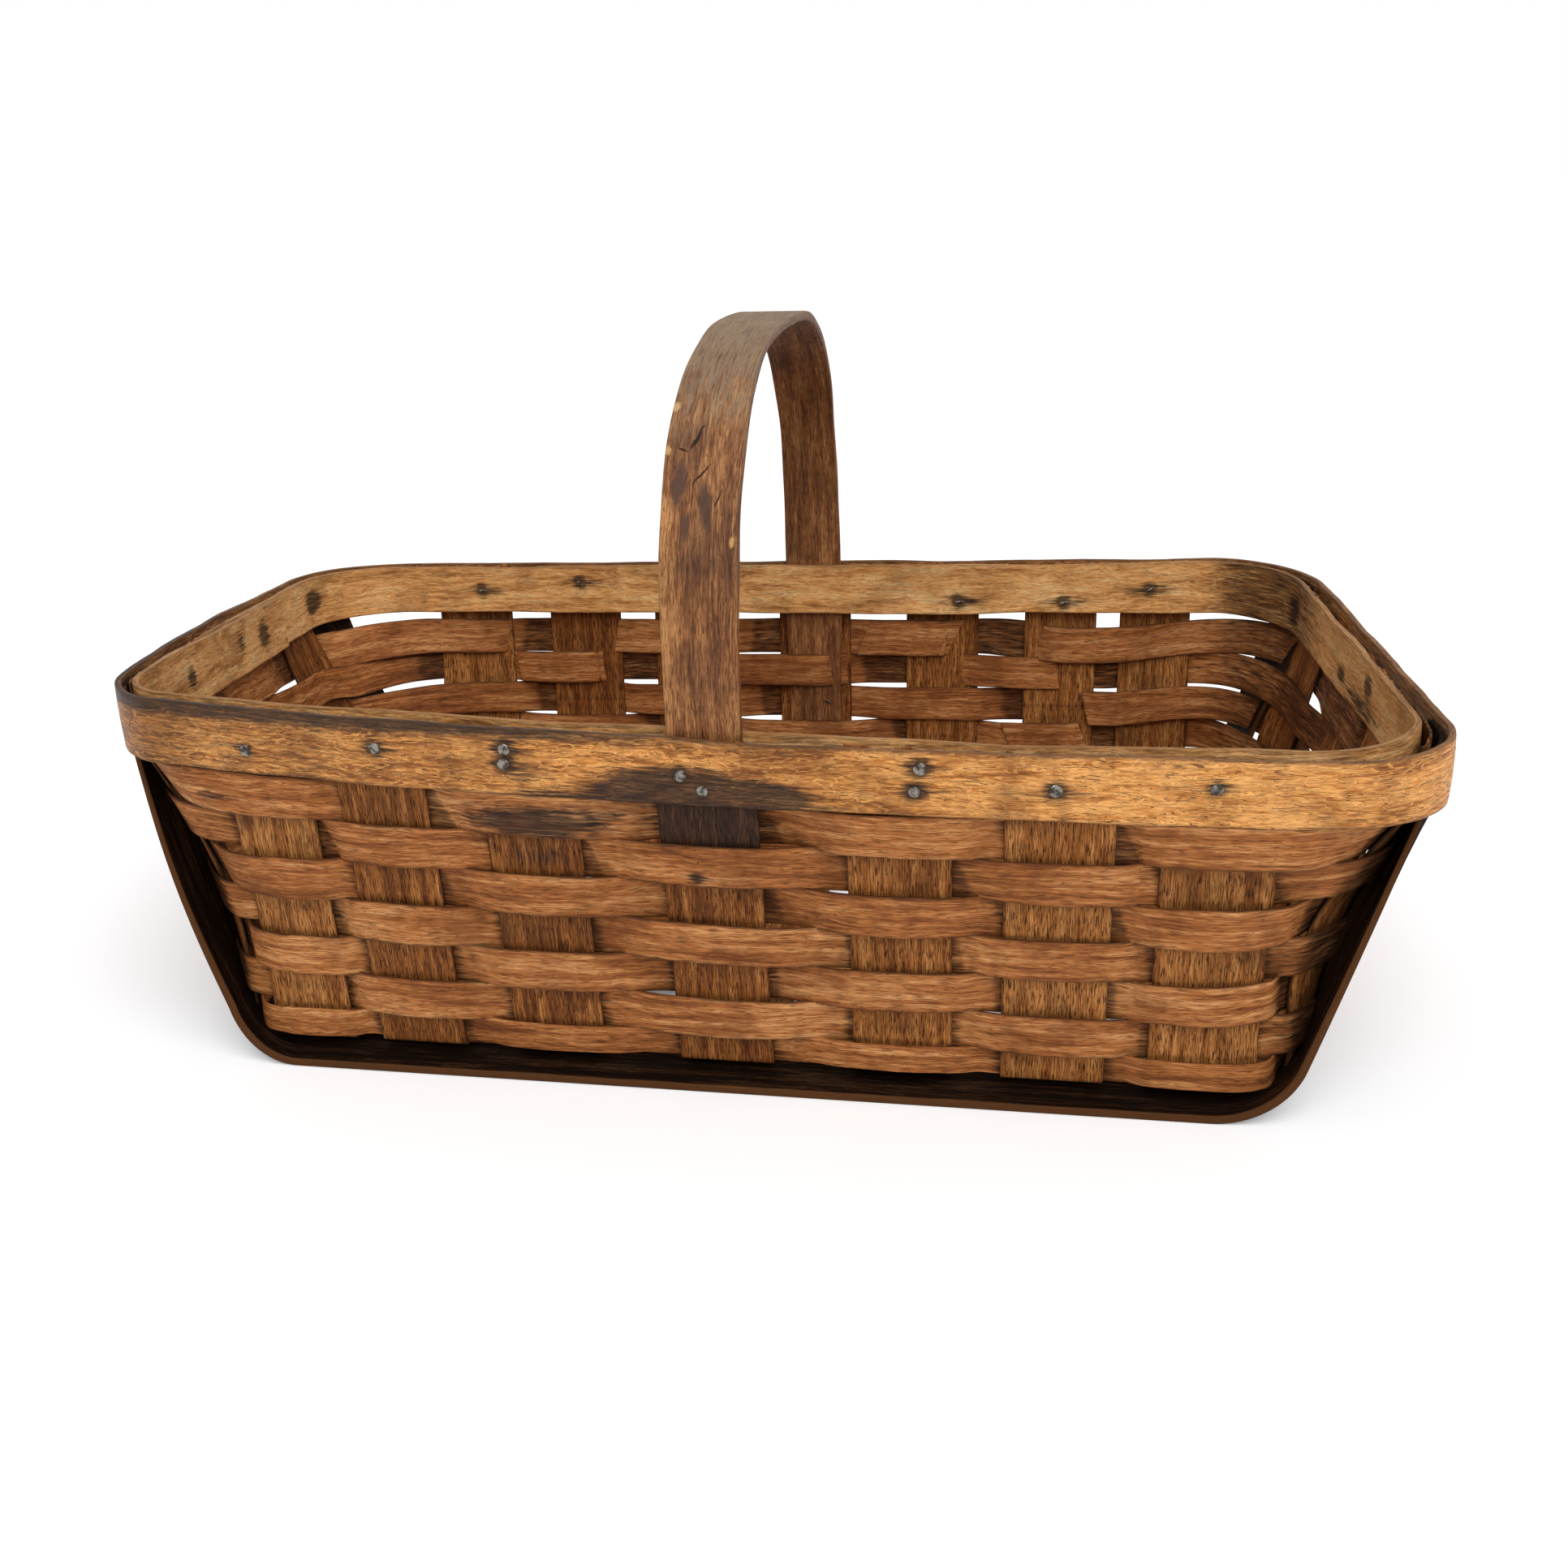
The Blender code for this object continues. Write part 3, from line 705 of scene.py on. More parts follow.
    def scarred(
        self, tree: Tree, flat: Socket, colour: Socket, relief: Socket
    ) -> tuple[Socket, Socket]:
        """Adds the splint's own cracks and chips, with wandering edges.

        Args:
            tree: the finish's node tree.
            flat: the splint's own map.
            colour: the colour so far.
            relief: the relief so far.

        Returns:
            The new colour and relief.
        """
        if not self.scars:
            return colour, relief
        wander = tree.sideways(flat, tree.grain(flat, 5.0, 4.0, detail=3.0), 1.3)
        start = self.seed * SEED_STEP
        for scar in self.scars:
            middle = (scar.along / 1000.0 + start, scar.across / 1000.0, 0.0)
            local = tree.add("ShaderNodeMapping", {"vector_type": "TEXTURE"},
                             {"Vector": wander, "Location": middle,
                              "Rotation": (0.0, 0.0, math.radians(scar.lean)),
                              "Scale": (scar.length / 2000.0, scar.width / 2000.0, 1.0)}).outputs[0]
            away = tree.add("ShaderNodeVectorMath", {"operation": "LENGTH"}, {0: local}).outputs["Value"]
            amount = tree.ramp(away, 0.45, 1.05, 0.95, 0.0)
            colour = tree.blend(amount, colour, scar.colour)
            relief = tree.maths("MULTIPLY_ADD", amount, -scar.depth, relief)
        return colour, relief

    def blotches(self, tree: Tree, colour: Socket) -> Socket:
        """Adds uneven darkening by hands and weather.

        Args:
            tree: the finish's node tree.
            colour: the colour so far.

        Returns:
            The new colour.
        """
        place = tree.add("ShaderNodeTexCoord").outputs["Object"]
        patch = tree.add("ShaderNodeTexNoise", {},
                         {"Vector": place, "Scale": 1000.0 / self.blotch_size, "Detail": 4.0,
                          "Roughness": 0.65}).outputs["Fac"]
        return tree.blend(tree.ramp(patch, 0.47, 0.68, 0.0, self.blotch_amount), colour, self.blotch)

    def edges(self, tree: Tree, flat: Socket, streak: Socket, colour: Socket) -> Socket:
        """Darkens the splint's two edges, raggedly.

        Args:
            tree: the finish's node tree.
            flat: the splint's own map.
            streak: the noise of its streaks.
            colour: the colour so far.

        Returns:
            The new colour.
        """
        across = tree.add("ShaderNodeSeparateXYZ", {}, {0: flat}).outputs["Y"]
        away = tree.maths("ABSOLUTE", across)
        frayed = tree.maths("MULTIPLY_ADD", streak, 0.0022, away)
        border = (self.half_width + 1.1) / 1000.0
        width = self.edge_width / 1000.0
        rim = tree.ramp(frayed, border - width, border + 0.0003, 0.0, self.edge_amount)
        return tree.blend(rim, colour, self.edge)

    def stains(
        self, tree: Tree, place: Socket, marks: dict[str, Socket], colour: Socket
    ) -> Socket:
        """Adds dirt and painted shade in corners and recesses, rubbed patches and iron stains, ragged along
        the grain.

        Args:
            tree: the finish's node tree.
            place: the grain's place on the splint.
            marks: the wear attributes, painted shade among them, by name.
            colour: the colour so far.

        Returns:
            The new colour.
        """
        ragged = tree.grain(place, 14.0, 0.9, detail=3.0)
        # The grime channel holds real dirt and painted shade; both take the soil tint.
        for name, tint, spread, most in (
            ("wear", self.worn, 1.1, 0.85), ("grime_and_shade", self.soil, 0.7, 0.9), ("iron", self.iron, 1.3, 0.84),
        ):
            uneven = tree.maths("SUBTRACT", ragged, 0.5)
            lifted = tree.maths("MULTIPLY_ADD", uneven, spread, marks[name])
            amount = tree.ramp(lifted, 0.12, 0.86, 0.0, most)
            amount = tree.maths("MULTIPLY_ADD", uneven, 0.5, amount, clamp=True)
            held = tree.maths("MULTIPLY", marks[name], 4.0, clamp=True)
            colour = tree.blend(tree.maths("MULTIPLY", amount, held), colour, tint)
        return colour


@dataclass(frozen=True)
class NailIron:
    """Cut iron nails, hammered: dark oxide in the hollows and bright worn faces."""

    name: str = "hammered_iron"
    dark: str = "4a443f"
    bright: str = "a09990"
    grain: float = 2.6
    roughness: float = 0.42

    def material(self) -> bpy.types.Material:
        """Makes the finish.

        Returns:
            The material.
        """
        tree = Tree(bpy.data.materials.new(self.name))
        place = tree.add("ShaderNodeTexCoord").outputs["Object"]
        noise = tree.add("ShaderNodeTexNoise", {},
                         {"Vector": place, "Scale": 1000.0 / self.grain, "Detail": 3.0}).outputs["Fac"]
        colour = tree.blend(tree.ramp(noise, 0.40, 0.60), self.dark, self.bright)
        tree.links.new(colour, tree.shader.inputs["Base Color"])
        bump = tree.add("ShaderNodeBump", {}, {"Height": noise, "Strength": 0.5, "Distance": 0.0004})
        tree.links.new(bump.outputs[0], tree.shader.inputs["Normal"])
        tree.shader.inputs["Metallic"].default_value = 0.85
        tree.shader.inputs["Roughness"].default_value = self.roughness
        return tree.owner


# Split oak, hewn and rubbed: golden where hands kept it clean, with torn flakes and a dirty upper edge.
OUTER_BAND = SplintWood(
    "split_oak_outer_band", "outer_band_wood", dark="8a4a19", middle="dc8f44", pale="f8b468",
    pore="4f290f", half_width=13.0, contrast=1.25, ring=(34.0, 3.6), streak=(14.0, 1.4),
    fibre=(7.0, 0.5), shares=(0.46, 0.36, 0.18), warp=1.4, warp_length=40.0, pore_amount=0.3,
    line_size=(30.0, 3.0), line_amount=0.85, flake_size=(13.0, 3.2), flake_amount=0.75,
    blotch="6f3f1a", blotch_size=34.0, blotch_amount=0.5, edge="6d4729", edge_amount=0.75,
    edge_width=1.8, soil="3a2a20", roughness=0.5, gloss=0.2, bump=0.9,
)
# The same oak, coloured paler as painted light to lift the shade inside the basket, and more even, with
# broad soft rings.
INNER_BAND = SplintWood(
    "split_oak_inner_band", "inner_band_wood", dark="a56834", middle="f4b068", pale="ffd292",
    pore="5e3716", half_width=13.0, contrast=0.9, ring=(50.0, 6.0), streak=(16.0, 2.0),
    fibre=(7.0, 0.6), shares=(0.45, 0.35, 0.20), warp=1.8, warp_length=40.0, pore_amount=0.3,
    line_amount=0.6, flake_size=(18.0, 5.0), flake_amount=0.35, blotch="704520", blotch_size=34.0,
    blotch_amount=0.42, edge="7f5631", edge_amount=0.6, edge_width=1.4, soil="342012", bump=0.7,
)
# Split ash, across whose face the torn fibres and open pores show as coarse dark and light dashes.
STAKE = SplintWood(
    "split_ash_stake", "stake_splint", dark="592f14", middle="955928", pale="c4864a",
    pore="2b1406", half_width=19.25, contrast=0.9, ring=(60.0, 3.4), streak=(16.0, 0.7),
    fibre=(6.0, 0.34), shares=(0.40, 0.34, 0.26), warp=0.5, pore_size=(6.0, 0.42),
    pore_amount=0.85, line_size=(24.0, 1.5), line_amount=0.8, blotch="43240e",
    blotch_amount=0.5, blotch_size=26.0, edge="2a1509", edge_amount=0.7,
)
# Thin split ash, smoother than the stakes and redder, with long wavy rings.
WEAVER = SplintWood(
    "split_ash_weaver", "weaver_splint", dark="724020", middle="ad6b38", pale="d69a62",
    pore="46220b", half_width=7.9, contrast=0.85, ring=(60.0, 3.0), streak=(22.0, 0.8),
    fibre=(8.0, 0.36), shares=(0.48, 0.32, 0.20), warp=1.6, warp_length=50.0,
    pore_size=(7.0, 0.38), pore_amount=0.6, line_size=(24.0, 1.8), line_amount=0.75,
    blotch="6b3916", blotch_amount=0.55, blotch_size=28.0, edge="3a1f0e", edge_amount=0.8,
    edge_width=0.9,
)
# Bent oak, polished by hands: brown, grey on its weathered top, cracked and chipped where it bends.
HANDLE = SplintWood(
    "bent_oak_handle", "handle_wood", dark="5a351f", middle="8d5931", pale="bb8450",
    pore="351a0b", half_width=14.25, contrast=0.9, ring=(45.0, 4.0), streak=(14.0, 1.0),
    fibre=(6.0, 0.42), shares=(0.42, 0.34, 0.24), warp=0.8, pore_size=(5.0, 0.4), pore_amount=0.6,
    line_size=(20.0, 1.8), line_amount=0.7, blotch="4a2b18", blotch_amount=0.6, blotch_size=32.0,
    edge="74492a", edge_amount=0.35, worn="8f7a62", soil="2e1f1b", roughness=0.5, gloss=0.25,
    seed=80,
    scars=(
        Scar(190.4, -7.7, 5.6, 1.1, -72.0), Scar(195.6, -3.0, 14.0, 1.2, 21.6),
        Scar(181.7, 0.1, 13.0, 1.1, 41.6), Scar(173.0, 6.6, 8.0, 0.8, 20.0),
        Scar(208.0, -12.8, 5.5, 3.4, 10.0, "c89f6c", 0.2), Scar(190.0, -13.0, 4.5, 2.8, 0.0, "c79a63", 0.2),
        Scar(158.1, 11.6, 5.0, 2.4, 15.0, "c39559", 0.2), Scar(178.0, -8.0, 22.0, 7.0, 8.0, "54382c", 0.0),
        Scar(170.0, 2.0, 24.0, 6.0, -6.0, "4d3226", 0.0), Scar(163.0, -5.0, 14.0, 4.0, 4.0, "5a3b2a", 0.1),
    ),
)
# Dark oak, coloured nearly black: partly its own dark colour and partly painted shade, with a brown rubbed
# edge.
RUNNER = SplintWood(
    "bent_oak_runner", "runner_wood", dark="0d0502", middle="190c05", pale="432b19",
    pore="0b0402", half_width=18.5, contrast=0.9, streak=(30.0, 1.0), ring=(90.0, 4.0), warp=0.8,
    pore_amount=0.5, blotch="100703", blotch_amount=0.5, edge="6b4426", edge_amount=0.55,
    edge_width=1.2, worn="8a6c4d", roughness=0.7, gloss=0.06,
)


@dataclass
class Sheet:
    """The flat pattern of one splint and the form that it is bent to.

    points holds the middle of the splint as rows of true points, side by side across it, each row
    running along it. The wear values, with painted shade among them, hold one number for each
    point, on the face towards the sheet's normal and on the far face.
    """

    name: str
    node: str
    points: np.ndarray
    width: float
    thickness: float
    finish: SplintWood
    seed: int
    edge: float = 0.00025
    edge_steps: int = 2
    thinning: np.ndarray | None = None
    wear_and_shade_maps: WearAndShadeMaps = field(default_factory=dict)

    def build(self) -> bpy.types.Object:
        """Bends, thickens, rounds and dresses the splint.

        Returns:
            The finished splint.
        """
        rows, columns = self.points.shape[:2]
        middle = self.points[rows // 2]
        steps = np.linalg.norm(np.diff(middle, axis=0), axis=1)
        along = np.concatenate([[0.0], np.cumsum(steps)])
        piece = flat_splint(self.name, along[-1], self.width, columns - 1, rows - 1)
        mesh = piece.data
        bent = settle(self.points.reshape(-1, 3)) + SHIFT
        mesh.vertices.foreach_set("co", bent.ravel())
        flat = np.column_stack([
            np.tile(along, rows) + self.seed * SEED_STEP,
            np.repeat(np.linspace(-0.5, 0.5, rows) * self.width, columns),
        ])
        normals = grid_normals(bent.reshape(rows, columns, 3)).reshape(-1, 3)
        self.thicken(piece)
        self.write_maps(piece, bent, normals, flat)
        self.round_edges(piece)
        mesh = piece.data
        mesh.materials.clear()
        mesh.materials.append(finish_material(self.finish))
        hand_over(piece, self.finish.slot, self.node)
        return piece

    def thicken(self, piece: bpy.types.Object) -> None:
        """Gives the sheet its thickness, thinned where the pattern says so.

        Args:
            piece: the splint.
        """
        wall = piece.modifiers.new("thickness", "SOLIDIFY")
        wall.thickness = self.thickness
        wall.offset = 0.0
        wall.use_even_offset = True
        if self.thinning is not None:
            group = piece.vertex_groups.new(name="thickness")
            for index, weight in enumerate(self.thinning.ravel()):
                group.add([index], float(weight), "REPLACE")
            wall.vertex_group = group.name
            wall.thickness_vertex_group = 0.0
        bpy.ops.object.modifier_apply(modifier=wall.name)
        piece.vertex_groups.clear()

    def write_maps(
        self, piece: bpy.types.Object, bent: np.ndarray, normals: np.ndarray, flat: np.ndarray
    ) -> None:
        """Writes the flat splint as a UV map, and the wear and painted shade as attributes of both faces.

        Args:
            piece: the thickened splint.
            bent: the points of its middle.
            normals: the directions of that middle.
            flat: the same points on the flat splint, in metres.
        """
        mesh = piece.data
        count = len(bent)
        spots = np.zeros(len(mesh.vertices) * 3)
        mesh.vertices.foreach_get("co", spots)
        spots = spots.reshape(-1, 3)
        origin = np.arange(len(spots)) % count
        facing = np.einsum("ij,ij->i", spots - bent[origin], normals[origin]) > 0
        loops = np.zeros(len(mesh.loops), dtype=np.int64)
        mesh.loops.foreach_get("vertex_index", loops)
        flat_loops = flat[origin[loops]].copy()
        self.spread_edges(mesh, facing[loops], flat_loops)
        mesh.uv_layers["splint"].data.foreach_set("uv", flat_loops.ravel())
        for name in WEAR_AND_SHADE:
            near, far = self.wear_and_shade_maps.get(name, (np.zeros(count), np.zeros(count)))
            values = np.where(facing, near.ravel()[origin], far.ravel()[origin])
            layer = mesh.attributes.new(name, "FLOAT", "POINT")
            layer.data.foreach_set("value", values.astype(np.float32))

    def spread_edges(
        self, mesh: bpy.types.Mesh, facing: np.ndarray, flat_loops: np.ndarray
    ) -> None:
        """Runs the grain on round the thin edges, by their thickness.

        Args:
            mesh: the thickened splint.
            facing: whether each loop lies on the near face.
            flat_loops: each loop's place on the map, which this moves.
        """
        starts = np.zeros(len(mesh.polygons), dtype=np.int64)
        totals = np.zeros(len(mesh.polygons), dtype=np.int64)
        mesh.polygons.foreach_get("loop_start", starts)
        mesh.polygons.foreach_get("loop_total", totals)
        for start, total in zip(starts, totals):
            sides = facing[start : start + total]
            if sides.any() and not sides.all():
                far = np.arange(start, start + total)[~sides]
                flat_loops[far, 1] += np.sign(flat_loops[far, 1]) * self.thickness

    def round_edges(self, piece: bpy.types.Object) -> None:
        """Rounds the splint's edges and shades it.

        Args:
            piece: the splint.
        """
        rounding = piece.modifiers.new("edges", "BEVEL")
        rounding.width = self.edge
        rounding.segments = self.edge_steps
        rounding.limit_method = "ANGLE"
        rounding.angle_limit = math.radians(50)
        bpy.ops.object.modifier_apply(modifier=rounding.name)
        bpy.ops.object.shade_smooth_by_angle(angle=math.radians(40))


MATERIALS: dict[str, bpy.types.Material] = {}


def end_shade(points: np.ndarray) -> tuple[np.ndarray, np.ndarray]:
    """Returns the painted shade of the basket's ends, on a wall's inner and on its outer face.

    Args:
        points: a splint's points, as rows.

    Returns:
        The painted shade of each point on both faces.
    """
    x, y, z = points[:, :, 0], points[:, :, 1], points[:, :, 2]
    wall = z > FORM.foot_level
    # Painted shade: the inside of the right end darkest, of the left end lighter, and the outside of both
    # ends behind the front runner.
    right, left, behind = 0.56, 0.12, 0.75
    end_start, end_blend = 0.19, 0.05
    inside = np.where(x > 0, right, left) * smooth((np.abs(x) - end_start) / end_blend) * wall
    behind_runner = smooth((y + 0.127) / 0.010) * smooth((-0.05 - y) / 0.03)
    outside = behind * behind_runner * (np.abs(x) > end_start) * wall
    return inside, outside


def finish_material(finish: SplintWood | NailIron) -> bpy.types.Material:
    """Returns a finish's material, made once.

    Args:
        finish: the finish.

    Returns:
        Its material.
    """
    if finish.name not in MATERIALS:
        MATERIALS[finish.name] = finish.material()
    return MATERIALS[finish.name]


def hand_over(piece: bpy.types.Object, slot: str | None, *nodes: str) -> None:
    """Fixes a piece to the basket's body, and lets it stand for the solids that it dresses.

    Args:
        piece: the finished piece.
        slot: the material slot of its solid, if it has one; not used.
        nodes: the solids that it stands for.
    """
    LOG.info("made %s", piece.name)
    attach(piece, BODY)
    if nodes:
        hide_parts(*nodes)


def flat_splint(
    name: str, length: float, width: float, cells_along: int, cells_across: int
) -> bpy.types.Object:
    """Adds a flat splint of real size, selected and active.

    Args:
        name: the piece's name.
        length: its length in metres.
        width: its width in metres.
        cells_along: the number of faces along it.
        cells_across: the number of faces across it.

    Returns:
        The piece.
    """
    bpy.ops.object.select_all(action="DESELECT")
    bpy.ops.mesh.primitive_grid_add(x_subdivisions=cells_along, y_subdivisions=cells_across, size=1.0)
    piece = bpy.context.object
    piece.name = name
    piece.data.name = name
    bpy.ops.object.mode_set(mode="EDIT")
    bpy.ops.mesh.select_all(action="SELECT")
    bpy.ops.transform.resize(value=(length, width, 1.0))
    bpy.ops.object.mode_set(mode="OBJECT")
    piece.data.uv_layers[0].name = "splint"
    return piece


def grid_normals(grid: np.ndarray) -> np.ndarray:
    """Returns the unit normals of a grid of points, rows by columns.

    Args:
        grid: rows of points.

    Returns:
        One direction for each point.
    """
    across = np.gradient(grid, axis=0)
    along = np.gradient(grid, axis=1)
    normal = np.cross(along, across)
    return normal / np.maximum(np.linalg.norm(normal, axis=2, keepdims=True), 1e-12)


@dataclass
class Rim:
    """The two bands, each bent once round the basket and lapped.

    The dirt and shade fields say how strongly each place is darkened: real dirt on the outer band's
    upper edge, on that edge and the whole band towards the left, and on the inner band's upper edge;
    painted shade on the outer band's hidden face, on the inner band's face between the bands, and on
    its inner face at its right back corner and its two ends.
    """

    lap_thinning: float = 0.35
    thin_length: float = 0.030
    cells_across: int = 16
    cell_length: float = 0.0020
    outer_lap: float = 0.070
    inner_lap: float = 0.094
    outer_lap_place: float = 0.10
    inner_lap_place: float = 0.001
    inner_growth: float = 0.010
    edge_wave: float = 0.0006
    face_wave: float = 0.0003
    edge_dirt: float = 0.24
    left_edge_dirt: float = 0.50
    left_dirt: float = 0.40
    # Painted shade: the outer band's hidden face, the inner band's face between the bands, its right back
    # corner and its two ends.
    hidden_face_shade: float = 0.45
    between_bands_shade: float = 0.40
    right_back_shade: float = 0.62
    inner_ends_shade: float = 0.20
    inner_edge_dirt: float = 0.08

    def build(self) -> None:
        """Makes both bands."""
        step = FORM.band_thickness + FORM.fit
        outer = rim_hoop(FORM.band_thickness / 2)
        self.band("outer_rim", outer, outer.place(Side.BACK, self.outer_lap_place), self.outer_lap,
                  step, False, OUTER_BAND, 3)
        inner = rim_hoop(FORM.band_thickness * 1.5 + FORM.rim_slot, self.inner_growth)
        self.band("inner_rim", inner, inner.place(Side.LEFT, -self.inner_lap_place),
                  self.inner_lap, -step, True, INNER_BAND, 8)

    def band(
        self, node: str, hoop: Hoop, middle: float, lap: float, lap_step: float,
        starts_on_top: bool, finish: SplintWood, seed: int,
    ) -> None:
        """Makes one band, whose last stretch laps its first.

        Args:
            node: the band's solid.
            hoop: the outline of the band's middle.
            middle: the lap's middle along the hoop.
            lap: the length of the lap.
            lap_step: how far out the stretch on top lies.
            starts_on_top: whether the first stretch is the one on top.
            finish: the band's wood.
            seed: picks its unevenness.
        """
        first = middle - lap / 2
        last = first + hoop.length + lap
        count = int((last - first) / self.cell_length)
        distance = np.linspace(first, last, count)
        lapped = distance - first if starts_on_top else last - distance
        over = np.clip(3 - 2 * lapped / lap, 0.0, 1.0)
        lines = []
        shares = np.linspace(-1.0, 1.0, self.cells_across + 1)
        for share in shares:
            height = mix(FORM.rim_bottom, FORM.rim_top, (share + 1) / 2)
            wave = ripple(distance, 0.16, seed + (share > 0)) * self.edge_wave * abs(share)
            offset = lap_step * over + self.face_wave * (
                ripple(distance, 0.05, seed + 5) + 1.4 * (1 - share * share)
            )
            lines.append(hoop.points(distance, height + wave, offset))
        ends = np.minimum(distance - first, last - distance)
        thin = mix(self.lap_thinning, 1.0, smooth(ends / self.thin_length))
        points = np.array(lines)
        wear = self.wear(points, distance, shares, seed, finish is OUTER_BAND)
        Sheet(f"{node}_band", node, points, FORM.band_height, FORM.band_thickness, finish, seed,
              edge=0.0006, edge_steps=3, thinning=np.tile(thin, (len(shares), 1)),
              wear_and_shade_maps=wear).build()

    def wear(
        self, points: np.ndarray, distance: np.ndarray, shares: np.ndarray, seed: int, outer: bool
    ) -> WearAndShadeMaps:
        """Returns the band's tone, the dirt of its upper edge, the painted shade of its hidden face, corner
        and ends, and its stains.

        Args:
            points: the middle of the band, as rows of points.
            distance: how far along the hoop each column lies.
            shares: where each row lies, from -1 at the lower edge to 1 at the upper one.
            seed: picks its unevenness.
            outer: whether it is the outer band.

        Returns:
            The wear maps.
        """
        x, y = points[:, :, 0], points[:, :, 1]
        upper = smooth((shares[:, None] - 0.45) / 0.5)
        tone = np.tile(ripple(distance, 0.20, seed + 11), (len(shares), 1)) * 0.6
        spots = settle(points.reshape(-1, 3))
        stain = stained(spots + SHIFT, RimNails().stains(outer)).reshape(tone.shape)
        if outer:
            front = smooth((0.05 - y) / 0.10)
            end = 0.26
            tone = tone + 0.65 * np.clip(x, -end, end) / end * front
            left = smooth((0.10 - x) / 0.20) * front
            far_left = smooth((0.02 - x) / 0.22) * front
            grime_and_shade = self.edge_dirt * upper + self.left_edge_dirt * left * upper
            grime_and_shade = grime_and_shade + self.left_dirt * far_left
            # Painted shade on the outer band's hidden face.
            far_face_dirt_and_shade = np.full_like(tone, self.hidden_face_shade)
        else:
            # Painted shade on the inner band's inner face: its right end, darkest at the back corner, and
            # both ends; its upper edge gets real dirt.
            right_end_shade = mix(0.15, self.right_back_shade, smooth((y - 0.03) / 0.05))
            corner = smooth((x - 0.20) / 0.03) * right_end_shade
            ends = self.inner_ends_shade * smooth((np.abs(x) - 0.215) / 0.03)
            far_face_dirt_and_shade = np.maximum(corner, ends + self.inner_edge_dirt * upper)
            # Painted shade on the inner band's face between the bands.
            grime_and_shade = np.full_like(tone, self.between_bands_shade)
        return {"tone": (tone, tone), "iron": (stain, stain), "grime_and_shade": (grime_and_shade, far_face_dirt_and_shade)}


@dataclass(frozen=True)
class Stain:
    """A dark place: its middle on the settled basket, its reach along each axis, and its strength."""

    middle: tuple[float, float, float]
    reach: tuple[float, float, float]
    strength: float = 1.0


def stained(points: np.ndarray, stains: list[Stain]) -> np.ndarray:
    """Returns how dark each settled point is stained.

    Args:
        points: settled points.
        stains: the stains.

    Returns:
        A share for each point.
    """
    dark = np.zeros(len(points))
    for stain in stains:
        away = np.linalg.norm((points - stain.middle) / stain.reach, axis=1)
        dark = np.maximum(dark, stain.strength * smooth(1.0 - away))
    return dark


